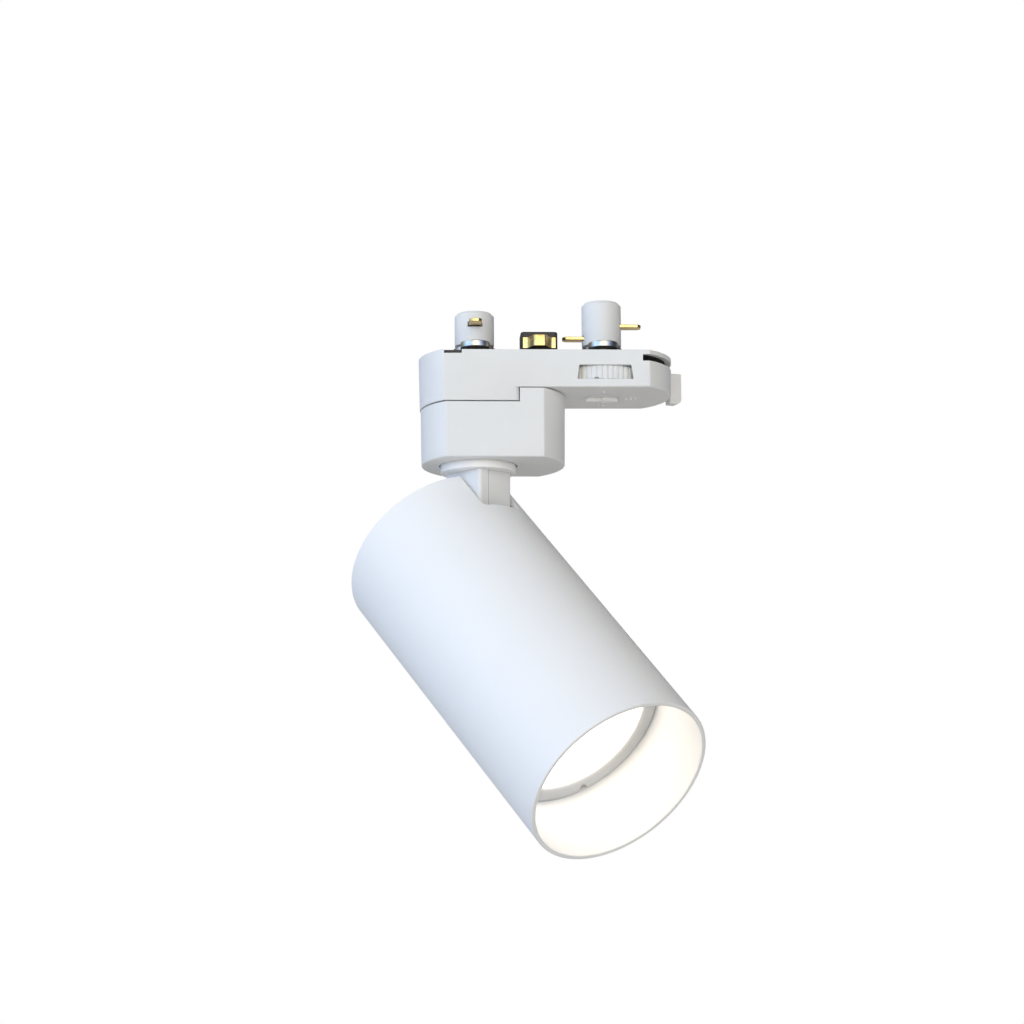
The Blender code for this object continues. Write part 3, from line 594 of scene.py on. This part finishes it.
def round_nose_edge(housing, radius):
    """Round the nose's lower edge, which ends at the deep end's wall."""
    bm = bmesh.new()
    bm.from_mesh(housing.data)
    level = -NOSE_DEPTH * MM
    edges = [edge for edge in bm.edges
             if edge.is_convex and all(abs(vert.co.z - level) < 1e-5 for vert in edge.verts)]
    bmesh.ops.bevel(bm, geom=edges, offset=radius * MM, segments=6, profile=0.5, affect="EDGES")
    bm.to_mesh(housing.data)
    bm.free()


def make_phase_dots():
    """Raised dots on the underside: one, two and three for the three circuits."""
    spots = [(NOSE_X, -10.0), (NOSE_X - 0.8, 10.0), (NOSE_X + 0.8, 10.0)]
    spots += [(NOSE_X + 7.5 + DOT_PITCH * index, 0.0) for index in range(3)]
    top = -NOSE_DEPTH + 0.1
    rim = top - DOT_RISE
    profile = [(0.0, top), (DOT_R, top), (DOT_R, rim)]
    profile += [(x, rim - y) for x, y in arc(0.0, 0.0, DOT_R, 0.0, math.pi / 2, 6)[1:-1]]
    profile += [(0.0, rim - DOT_R)]
    for index, (x, y) in enumerate(spots):
        dot = lathe(f"circuit_dot_{index + 1}", profile, WORLD, 24, x, y)
        # The dots take the white paint made lighter: painted light
        settle(dot, "adapter", "white_paint", PAINTED_LIGHT_PAINT)


def make_lower_housing():
    """The cup under the seam, whose wall rises beyond the step, with the disc's recess."""
    outline = rounded(box_outline(DRAFT), 1.4, 6)
    cup = slab("swivel_housing", outline, BOX_BOTTOM, BOX_RISE_TOP, WORLD, 0.5, 0.12, DRAFT)
    over_seam = round_rect(-30.0, STEP_X + GAP / 2, -30.0, 30.0, 0.3)
    carve(cup, slab("rise_cut", over_seam, BOX_TOP, 0.0))
    carve(cup, slab("cup_cavity", box_outline(-WALL), BOX_BOTTOM + BOX_FLOOR, 0.0))
    recess = circle(0.0, 0.0, DISC_R + 0.45, 128)
    carve(cup, slab("disc_recess", recess, BOX_BOTTOM - 2.0, BOX_BOTTOM + DISC_RECESS))
    carve(cup, slab("swivel_hole", circle(0.0, 0.0, 5.35, 48), BOX_BOTTOM - 2.0, BOX_BOTTOM + 4.0))
    soften(cup, 0.12)
    settle(cup, "adapter", "white_plastic", PLASTIC, "lower_housing")


def make_track_guide():
    """The insulating deck, with its bar between the track's lips and its contact post."""
    inset_by = WALL + GAP
    deck = rounded(long_outline(-inset_by), 0.6)
    guide = slab("guide_deck", deck, SLIT_TOP, 0.0, WORLD, 0.0, 0.12)
    bar = round_rect(-13.5, 54.0, -7.8, 7.8, 3.0, 10)
    fuse(guide, slab("guide_bar", bar, -1.0, 1.8, WORLD, 0.0, 0.3))
    post = round_rect(13.4, 25.0, -4.5, 4.5, 1.2)
    fuse(guide, slab("contact_post", post, 1.0, 8.5, WORLD, 0.0, 0.5))
    for index, x in enumerate((NOSE_X, REAR_X)):
        carve(guide, slab(f"turret_hole_{index}", circle(x, 0.0, 7.0, 72), -4.0, 4.0))
    for index, (x, y) in enumerate(SCREW_SPOTS):
        carve(guide, slab(f"guide_hole_{index}", circle(x, y, GUIDE_HOLE_R, 24), -4.0, 2.0))
        carve(guide, slab(f"guide_sink_{index}", circle(x, y, GUIDE_SINK_R, 32), -0.8, 2.0))
    soften(guide, 0.1)
    settle(guide, "adapter", "black_plastic", FINISHES["black_plastic"], "track_guide")


def make_earth_contacts():
    """Bowed spring strips on both sides of the contact post."""
    for name, side in (("earth_contact_near", -1), ("earth_contact_far", 1)):
        outer = [(14.0, 4.8), (15.6, 4.8), (17.4, 8.6), (21.0, 8.6), (22.8, 4.8), (24.4, 4.8)]
        inner = [(x, y + STRIP_THICKNESS) for x, y in reversed(outer)]
        outline = rounded([(x, side * y) for x, y in outer + inner], 0.9, 5, math.radians(10))
        strip = slab(name + "_strip", outline, STRIP_LOW, STRIP_HIGH, WORLD, 0.08, 0.08)
        settle(strip, "adapter", "brass", BRASS, name)


# ---------------------------------------------------------------- lock and selector

def make_lock_lever():
    """A turning plate with a piece of the nose's wall, a finger tab and a pin for the link."""
    top, bottom = SLIT_TOP - GAP, SLIT_BOTTOM + GAP
    rim = NOSE_R + 0.12
    plate = arc(0.0, 0.0, rim - 0.7, LEVER_START + 0.03, LEVER_END - 0.03, 24)
    plate += arc(0.0, 0.0, 9.0, LEVER_END, LEVER_START + 2 * math.pi, 60)
    lever = slab("lever_plate", plate, bottom, top, LOCK)
    carve(lever, slab("lever_bore", circle(0.0, 0.0, 3.5, 48), -6.0, 2.0, LOCK))
    wall = rounded(sector(NOSE_R - WALL, rim, LEVER_START, LEVER_END), 0.3)
    fuse(lever, slab("lever_wall", wall, -10.1, top - 0.3, LOCK))
    fuse(lever, finger_tab())
    fuse(lever, link_pin("lever_pin", LOCK))
    soften(lever, 0.12)
    settle(lever, "lock", "white_plastic", PLASTIC, "lock_lever")


def link_pin(name, axis):
    """The pin under a turning piece that the link bar works on."""
    outline = circle(LINK_SPOT.x - NOSE_X, LINK_SPOT.y, PIN_R, 24)
    return slab(name, outline, PIN_BOTTOM, PIN_TOP, axis, 0.2)


def finger_tab():
    """A radial blade outside the nose, with round edges and a round lower corner."""
    inner, free = NOSE_R - 0.4, NOSE_R + 0.9
    top, low, step_up = SLIT_BOTTOM + 0.9, -NOSE_DEPTH - 0.5, -9.9
    profile = [(inner, top), (inner, step_up), (free, step_up), (free, low)]
    profile += arc(TAB_REACH - TAB_CORNER, low + TAB_CORNER, TAB_CORNER, -math.pi / 2, 0.0, 12)
    profile += [(TAB_REACH, top)]
    turned = LOCK @ Matrix.Rotation(LEVER_ANGLE, 4, "Z")
    return bar_y("finger_tab", profile, -TAB_HALF_WIDTH, TAB_HALF_WIDTH, turned, 0.3)


def make_lock_cams():
    """Steel cams with two wings, which turn over the track's lips."""
    tip = CAM_REACH - CAM_HALF_WIDTH
    wings = arc(0.0, tip, CAM_HALF_WIDTH, 0.0, math.pi, 24)
    wings += arc(0.0, -tip, CAM_HALF_WIDTH, math.pi, 2 * math.pi, 24)
    cams = (("lock_cam_front", "lock", LOCK), ("lock_cam_rear", "rear_turret", REAR))
    for node, body, spot in cams:
        cam = slab(node + "_plate", wings, CAM_BOTTOM, CAM_TOP, spot, 0.25, 0.25)
        fuse(cam, slab("cam_sleeve", circle(0.0, 0.0, 6.6, 72), -1.4, 3.5, spot))
        carve(cam, slab("cam_bore", circle(0.0, 0.0, 3.4, 48), -4.0, 6.0, spot))
        settle(cam, body, "steel", STEEL, node)


def make_neutral_turret():
    """The rear turret, with its crank under the deck and one contact."""
    stem = [(0.0, -3.2), (9.6, -3.2), (9.6, -1.7), (TURRET_STEM_R, -1.7),
            (TURRET_STEM_R, TURRET_FOOT)]
    profile = stem + barrel_top(NEUTRAL_TOP)
    turret = lathe("neutral_barrel", rounded_profile(profile, 0.3), REAR, 72)
    fuse(turret, link_pin("turret_pin", REAR))
    carve_contact_seat(turret, REAR, -math.pi / 2, NEUTRAL_Z)
    soften(turret, 0.1)
    settle(turret, "rear_turret", "white_plastic", PLASTIC, "neutral_turret")
    make_contact("neutral_contact", "rear_turret", REAR, -math.pi / 2, NEUTRAL_Z)


def barrel_top(top):
    """The wide part of a turret's profile, from its foot over the cam to its chamfered top."""
    return [(TURRET_R, TURRET_FOOT), (TURRET_R, top - 1.0), (TURRET_R - 1.0, top), (0.0, top)]


def rounded_profile(profile, radius):
    """A lathe profile with rounded corners, except where it meets its axis."""
    result = []
    smooth = rounded(profile, radius, 3)
    for x, z in smooth:
        result.append((0.0 if x < radius * 0.9 else x, z))
    cleaned = [result[0]]
    for spot in result[1:]:
        if (Vector(spot) - Vector(cleaned[-1])).length > 1e-4:
            cleaned.append(spot)
    return cleaned


def make_contact(node, body, axis, angle, z):
    """A contact blade that stands out of a turret."""
    half, reach = BLADE_HALF_WIDTH, BLADE_REACH
    outline = [(BLADE_SEAT, -half), (reach - 1.0, -half), (reach, -half + 1.0),
               (reach, half - 1.0), (reach - 1.0, half), (BLADE_SEAT, half)]
    turned = axis @ Matrix.Rotation(angle, 4, "Z")
    blade = slab(node + "_blade", rounded(outline, 0.7), z - 0.5, z + 0.5, turned, 0.15, 0.15)
    settle(blade, body, "brass", BRASS, node)


def carve_contact_seat(barrel, axis, angle, z):
    """The pocket in a turret that a blade stands in."""
    half = BLADE_HALF_WIDTH + GAP
    turned = axis @ Matrix.Rotation(angle, 4, "Z")
    low, high = z - 0.5 - GAP, z + 0.5 + GAP
    outline = round_rect(BLADE_SEAT - GAP, 12.0, -half, half, 0.1)
    carve(barrel, slab("seat", outline, low, high, turned))


def make_selector_wheel():
    """A wheel with a ribbed rim, whose hub is the dial under the nose, and the dial's pointer."""
    bottom, top, web = -9.2, -4.65, -7.6
    dial = [(0.0, DIAL_BOTTOM), (DIAL_R - 0.2, DIAL_BOTTOM), (DIAL_R, DIAL_BOTTOM + 0.2),
            (DIAL_R, bottom)]
    rim = [(RIM_R - 0.3, bottom), (RIM_R, bottom + 0.3), (RIM_R, top - 0.3), (RIM_R - 0.3, top),
           (13.6, top), (13.6, web)]
    hub = [(6.0, web), (6.0, -5.6), (3.4, -5.6), (3.4, -9.6), (0.0, -9.6)]
    profile = dial + rim + hub
    wheel = lathe("phase_wheel", profile, LOCK, RIM_RIBS * 8)
    press_grooves(wheel)
    mark = round_rect(-3.3, -2.1, -18.0, -14.6, 0.1)
    carve(wheel, slab("rim_mark", mark, -10.0, -8.5, LOCK))
    settle(wheel, "selector", "white_plastic", PLASTIC, "selector_wheel")
    arrow = [(-5.0, -0.9), (0.0, -0.9), (0.0, -2.4), (4.9, -0.3), (4.9, 0.3), (0.0, 2.4),
             (0.0, 0.9), (-5.0, 0.9)]
    arrow = rounded(arrow, 0.2)
    pointer = slab("dial_pointer", arrow, POINTER_BOTTOM, POINTER_TOP, LOCK, 0.1)
    # The pointer takes the white paint made lighter: painted light
    settle(pointer, "selector", "white_paint", PAINTED_LIGHT_PAINT)


def press_grooves(wheel):
    """Leave broad ribs round the rim, with narrow, shallow grooves between them."""
    for vert in wheel.data.vertices:
        arm = vert.co.xy / MM - Vector((NOSE_X, 0.0))
        if arm.length < RIM_R - 0.5:
            continue
        phase = math.atan2(arm.y, arm.x) * RIM_RIBS / (2 * math.pi)
        crest = abs(math.sin(math.pi * phase)) ** 0.3
        arm *= 1 - GROOVE_DEPTH * (1 - crest) / arm.length
        vert.co.xy = (arm + Vector((NOSE_X, 0.0))) * MM


def make_phase_drum():
    """The turret over the wheel, with a contact for each circuit."""
    stem = [(0.0, -9.3), (TURRET_STEM_R, -9.3), (TURRET_STEM_R, TURRET_FOOT)]
    profile = stem + barrel_top(DRUM_TOP)
    drum = lathe("selector_barrel", rounded_profile(profile, 0.3), LOCK, 72)
    angles = (math.pi, 0.0, math.pi / 2)
    for index, (angle, z) in enumerate(zip(angles, PHASE_HEIGHTS)):
        carve_contact_seat(drum, LOCK, angle, z)
        make_contact(f"phase_contact_{index + 1}", "selector", LOCK, angle, z)
    soften(drum, 0.1)
    settle(drum, "selector", "white_plastic", PLASTIC, "phase_drum")


# ---------------------------------------------------------------- swivel and neck

def make_swivel_disc():
    low, high = DISC_BOTTOM, BOX_BOTTOM + DISC_RECESS - GAP
    profile = [(5.3, low), (DISC_R, low), (DISC_R, high), (5.3, high)]
    disc = lathe("pan_disc", rounded(profile, 0.4), SWIVEL, 160)
    # The disc takes the white paint made lighter than the tube's: painted light
    settle(disc, "swivel", "white_paint", PAINTED_LIGHT_PAINT, "swivel_disc")


def make_neck():
    """Two mouldings with a seam between them and soft edges all round."""
    half_x, half_y = NECK_X / 2, NECK_Y / 2
    top, end = DISC_BOTTOM, PIVOT_Z
    spare = math.radians(28)
    lower = arc(0.0, end, NECK_END_R, math.pi + spare, 2 * math.pi - spare, 28)
    side = [(half_x, top + 3.0), (-half_x, top + 3.0), (-half_x, end + 2.5)]
    side = rounded(side + lower + [(half_x, end + 2.5)], 2.0, 6)
    corners = round_rect(-half_x, half_x, -half_y, half_y, NECK_CORNER, 8)
    stud_hole = circle(0.0, 0.0, STUD_HOLE_R, 48)
    wire_way = circle(0.0, 0.0, WIRE_WAY_R, 40)
    bolt_hole = circle(0.0, end, BOLT_HOLE_R, 32)
    shells = (("neck_cover", -half_y, NECK_SEAM_Y - 0.1), ("neck_body", NECK_SEAM_Y + 0.1, half_y))
    for node, y0, y1 in shells:
        shell = bar_y(node + "_shell", side, y0, y1, SWIVEL)
        keep(shell, slab("corners", corners, end - 10.0, top + 0.2, SWIVEL))
        carve(shell, slab("stud_hole", stud_hole, STUD_HOLE_LOW, -30.0, SWIVEL))
        carve(shell, slab("wire_way", wire_way, end + 5.0, -40.0, SWIVEL))
        carve(shell, bar_y("bolt_hole", bolt_hole, -20.0, 20.0, SWIVEL))
        soften(shell, 0.15)
        settle(shell, "swivel", "white_plastic", PLASTIC, node)


# ---------------------------------------------------------------- lamp head

def make_tube():
    """The painted tube, slotted from its rear edge for the neck."""
    inner = TUBE_R - TUBE_WALL
    profile = [(inner, TUBE_FRONT), (TUBE_R, TUBE_FRONT), (TUBE_R, TUBE_REAR), (inner, TUBE_REAR)]
    tube = lathe("spot_tube", rounded(profile, 0.45, 5), HEAD, 256)
    side, reach = SLOT_HALF_WIDTH, SLOT_HALF_WIDTH - SLOT_CORNER
    level = TUBE_REAR - SLOT_DEPTH + SLOT_CORNER
    outline = [(side, TUBE_REAR + 5.0), (-side, TUBE_REAR + 5.0)]
    outline += arc(-reach, level, SLOT_CORNER, math.pi, 1.5 * math.pi, 10)
    outline += arc(reach, level, SLOT_CORNER, 1.5 * math.pi, 2 * math.pi, 10)
    carve(tube, bar_x("neck_slot", outline, 10.0, 40.0, HEAD))
    soften(tube, 0.15)
    settle(tube, "lamp_head", "white_paint", PAINT, "lamp_tube")


def make_rear_cap():
    """The disc that closes the tube's rear, with a slot for the neck and two sunk holes."""
    radius = TUBE_R - TUBE_WALL - GAP
    low, high = TUBE_REAR - 3.0, TUBE_REAR - 1.0
    cap = slab("rear_cover", circle(0.0, 0.0, radius, 160), low, high, HEAD, 0.15, 0.4)
    slot = round_rect(-9.2, 40.0, -7.6, 7.6, 1.5)
    carve(cap, slab("cap_slot", slot, low - 2.0, high + 2.0, HEAD))
    for side in (-1, 1):
        x, y = CAP_SCREW_X, CAP_SCREW_Y * side
        hole, sink = circle(x, y, CAP_HOLE_R, 24), circle(x, y, CAP_SINK_R, 32)
        carve(cap, slab("cap_hole", hole, low - 2.0, high + 2.0, HEAD))
        carve(cap, slab("cap_sink", sink, high - CAP_SINK_DEPTH, high + 2.0, HEAD))
    soften(cap, 0.12)
    settle(cap, "lamp_head", "white_plastic", PLASTIC, "rear_cap")


def make_screw(node, body, axis, x, y, top, head_r, head_h, shank_r, length):
    """A pan-head screw with a cross recess and a pointed end."""
    dome = arc(0.0, 0.0, 1.0, 0.0, math.pi / 2, 6)
    head = [(head_r * across, top - head_h + head_h * up) for across, up in dome[:-1]]
    profile = [(shank_r, top - head_h)] + head + [(0.0, top), (0.0, top - length)]
    profile += [(shank_r, top - length + shank_r)]
    screw = lathe(node + "_metal", profile, axis, 32, x, y)
    arm, half, deep = head_r * 0.55, head_r * 0.13, head_h * 0.6
    for wide, tall in ((arm, half), (half, arm)):
        corners = [(x - wide, y - tall), (x + wide, y - tall),
                   (x + wide, y + tall), (x - wide, y + tall)]
        carve(screw, slab("recess", corners, top - deep, top + 1.0, axis))
    settle(screw, body, "steel", STEEL, node)


def make_screws():
    for index, (x, y) in enumerate(SCREW_SPOTS):
        make_screw(f"guide_screw_{index + 1}", "adapter", WORLD, x, y, *GUIDE_SCREW)
    for index, side in enumerate((-1, 1)):
        make_screw(f"cap_screw_{index + 1}", "lamp_head", HEAD, CAP_SCREW_X,
                   CAP_SCREW_Y * side, *CAP_SCREW)


def make_retaining_ring():
    """A ring with an inner lip over the lens and a V notch in its face for a tool."""
    radius = TUBE_R - TUBE_WALL - GAP
    back, lip = RING_FRONT + 6.5, RING_FRONT + 2.0
    profile = [(RING_HOLE_R, RING_FRONT + 0.5), (RING_HOLE_R + 0.5, RING_FRONT),
               (radius, RING_FRONT), (radius, back), (radius - 1.4, back), (radius - 1.4, lip),
               (RING_HOLE_R, lip)]
    ring = lathe("lamp_ring", rounded(profile, 0.2, 3), HEAD, 224)
    turned = HEAD @ Matrix.Rotation(NOTCH_ANGLE, 4, "Z")
    outline = rounded([(25.7, -0.3), (29.5, -2.3), (29.5, 2.3), (25.7, 0.3)], 0.3)
    carve(ring, slab("tool_notch", outline, RING_FRONT - 2.0, RING_FRONT + NOTCH_DEPTH, turned))
    settle(ring, "lamp_head", "grey_plastic", GREY, "retaining_ring")


def make_lens():
    """A frosted lens with a rim behind the ring's lip and shallow rings pressed into its front."""
    face, rim = RING_FRONT + 0.9, RING_FRONT + 2.5
    profile = [(0.0, face + 0.1)]
    for index in range(LENS_RINGS):
        outer = LENS_PATTERN_R * (index + 1) / LENS_RINGS
        profile.append((outer - 0.8, face))
        profile.append((outer, face + 0.15))
    profile += [(LENS_R - 0.3, face), (LENS_R - 0.1, face + 0.2), (LENS_R - 0.1, rim),
                (LENS_R, rim + 0.05), (LENS_R, rim + 1.2), (0.0, rim + 1.2)]
    lens = lathe("front_lens", profile, HEAD, 160)
    settle(lens, "lamp_head", "lens", FINISHES["lens"], "lamp_lens")


# ---------------------------------------------------------------- studio

CAMERA_SPOT = Vector((-43.805, -1162.608, -262.142))
CAMERA_AZIMUTH = math.radians(2.674)
CAMERA_ELEVATION = math.radians(10.409)
CAMERA_ROLL = math.radians(-0.393)
FOCAL_LENGTH = 133.1
FLOOR_Z = -420.0
SOFT_BOXES = (
    # degrees left of the front, degrees up, focus, colour and strength
    (0, 0, 8, (4.2, 3.65, 2.3)),
    (-30, 0, 8, (0.5, 0.8, 1.6)),
    (60, 0, 8, (1.1, 2.15, 4.3)),
    (90, 40, 8, (1.4, 1.3, 0.9)),
    (0, 90, 4, (0.5, 0.48, 0.5)),
    (180, 0, 1, (0.3, 0.3, 0.3)),
)


def make_camera():
    """A long lens below the adapter's level, looking slightly up."""
    level = math.cos(CAMERA_ELEVATION)
    forward = Vector((math.sin(CAMERA_AZIMUTH) * level, math.cos(CAMERA_AZIMUTH) * level,
                      math.sin(CAMERA_ELEVATION)))
    flat_right = Vector((math.cos(CAMERA_AZIMUTH), -math.sin(CAMERA_AZIMUTH), 0.0))
    flat_up = flat_right.cross(forward)
    right = flat_right * math.cos(CAMERA_ROLL) + flat_up * math.sin(CAMERA_ROLL)
    up = flat_up * math.cos(CAMERA_ROLL) - flat_right * math.sin(CAMERA_ROLL)
    data = bpy.data.cameras.new("camera")
    data.sensor_width = 36.0
    data.lens = FOCAL_LENGTH
    data.clip_start, data.clip_end = 0.01, 50.0
    camera = bpy.data.objects.new("camera", data)
    bpy.context.scene.collection.objects.link(camera)
    turn = Matrix((right, up, -forward)).transposed().to_4x4()
    camera.matrix_world = Matrix.Translation(CAMERA_SPOT * MM) @ turn
    bpy.context.scene.camera = camera


def make_floor():
    half = 6.0
    bm = bmesh.new()
    corners = ((-half, -half), (half, -half), (half, half), (-half, half))
    bm.faces.new([bm.verts.new((x, y, FLOOR_Z * MM)) for x, y in corners])
    mesh = bpy.data.meshes.new("studio_floor")
    bm.to_mesh(mesh)
    bm.free()
    floor = bpy.data.objects.new("studio_floor", mesh)
    bpy.context.scene.collection.objects.link(floor)
    nodes = Nodes("pale_floor")
    shade = nodes.ramp(nodes.noise(3.0), (0.89, 0.865, 0.83), (0.91, 0.885, 0.85))
    nodes.link(shade, nodes.shader, "Base Color")
    nodes.shader.inputs["Roughness"].default_value = 0.8
    mesh.materials.append(nodes.material)


def make_world():
    """Soft boxes round the object, each a lobe of light; the backdrop behind it stays white."""
    world = bpy.data.worlds.new("studio")
    bpy.context.scene.world = world
    world.use_nodes = True
    tree = world.node_tree
    where = tree.nodes.new("ShaderNodeTexCoord").outputs["Generated"]
    total = None
    for side, height, focus, colour in SOFT_BOXES:
        lobe = light_lobe(tree, where, math.radians(side), math.radians(height), focus, colour)
        if total is None:
            total = lobe
            continue
        adding = tree.nodes.new("ShaderNodeVectorMath")
        adding.operation = "ADD"
        tree.links.new(total, adding.inputs[0])
        tree.links.new(lobe, adding.inputs[1])
        total = adding.outputs["Vector"]
    light = tree.nodes["Background"]
    tree.links.new(total, light.inputs["Color"])
    backdrop = tree.nodes.new("ShaderNodeBackground")
    choose = tree.nodes.new("ShaderNodeMixShader")
    path = tree.nodes.new("ShaderNodeLightPath")
    tree.links.new(path.outputs["Is Camera Ray"], choose.inputs["Fac"])
    tree.links.new(light.outputs["Background"], choose.inputs[1])
    tree.links.new(backdrop.outputs["Background"], choose.inputs[2])
    backdrop.inputs["Color"].default_value = (1.0, 1.0, 1.0, 1.0)
    tree.links.new(choose.outputs["Shader"], tree.nodes["World Output"].inputs["Surface"])


def light_lobe(tree, where, side, height, focus, colour):
    """Light from one direction: side is its angle to the left of -Y, height its angle up."""
    level = math.cos(height)
    facing = tree.nodes.new("ShaderNodeVectorMath")
    facing.operation = "DOT_PRODUCT"
    source = (-math.sin(side) * level, -math.cos(side) * level, math.sin(height))
    facing.inputs[1].default_value = source
    tree.links.new(where, facing.inputs[0])
    front = tree.nodes.new("ShaderNodeMath")
    front.operation = "MAXIMUM"
    front.inputs[1].default_value = 0.0
    tree.links.new(facing.outputs["Value"], front.inputs[0])
    narrow = tree.nodes.new("ShaderNodeMath")
    narrow.operation = "POWER"
    narrow.inputs[1].default_value = focus
    tree.links.new(front.outputs["Value"], narrow.inputs[0])
    tinted = tree.nodes.new("ShaderNodeVectorMath")
    tinted.operation = "SCALE"
    tinted.inputs[0].default_value = colour
    tree.links.new(narrow.outputs["Value"], tinted.inputs["Scale"])
    return tinted.outputs["Vector"]


def main():
    make_camera()
    make_world()
    make_floor()
    finish_cad_nodes()
    make_adapter()
    make_phase_dots()
    make_lower_housing()
    make_track_guide()
    make_earth_contacts()
    make_lock_lever()
    make_lock_cams()
    make_neutral_turret()
    make_selector_wheel()
    make_phase_drum()
    make_swivel_disc()
    make_neck()
    make_tube()
    make_rear_cap()
    make_screws()
    make_retaining_ring()
    make_lens()
    bpy.context.scene.view_settings.view_transform = "Standard"


main()
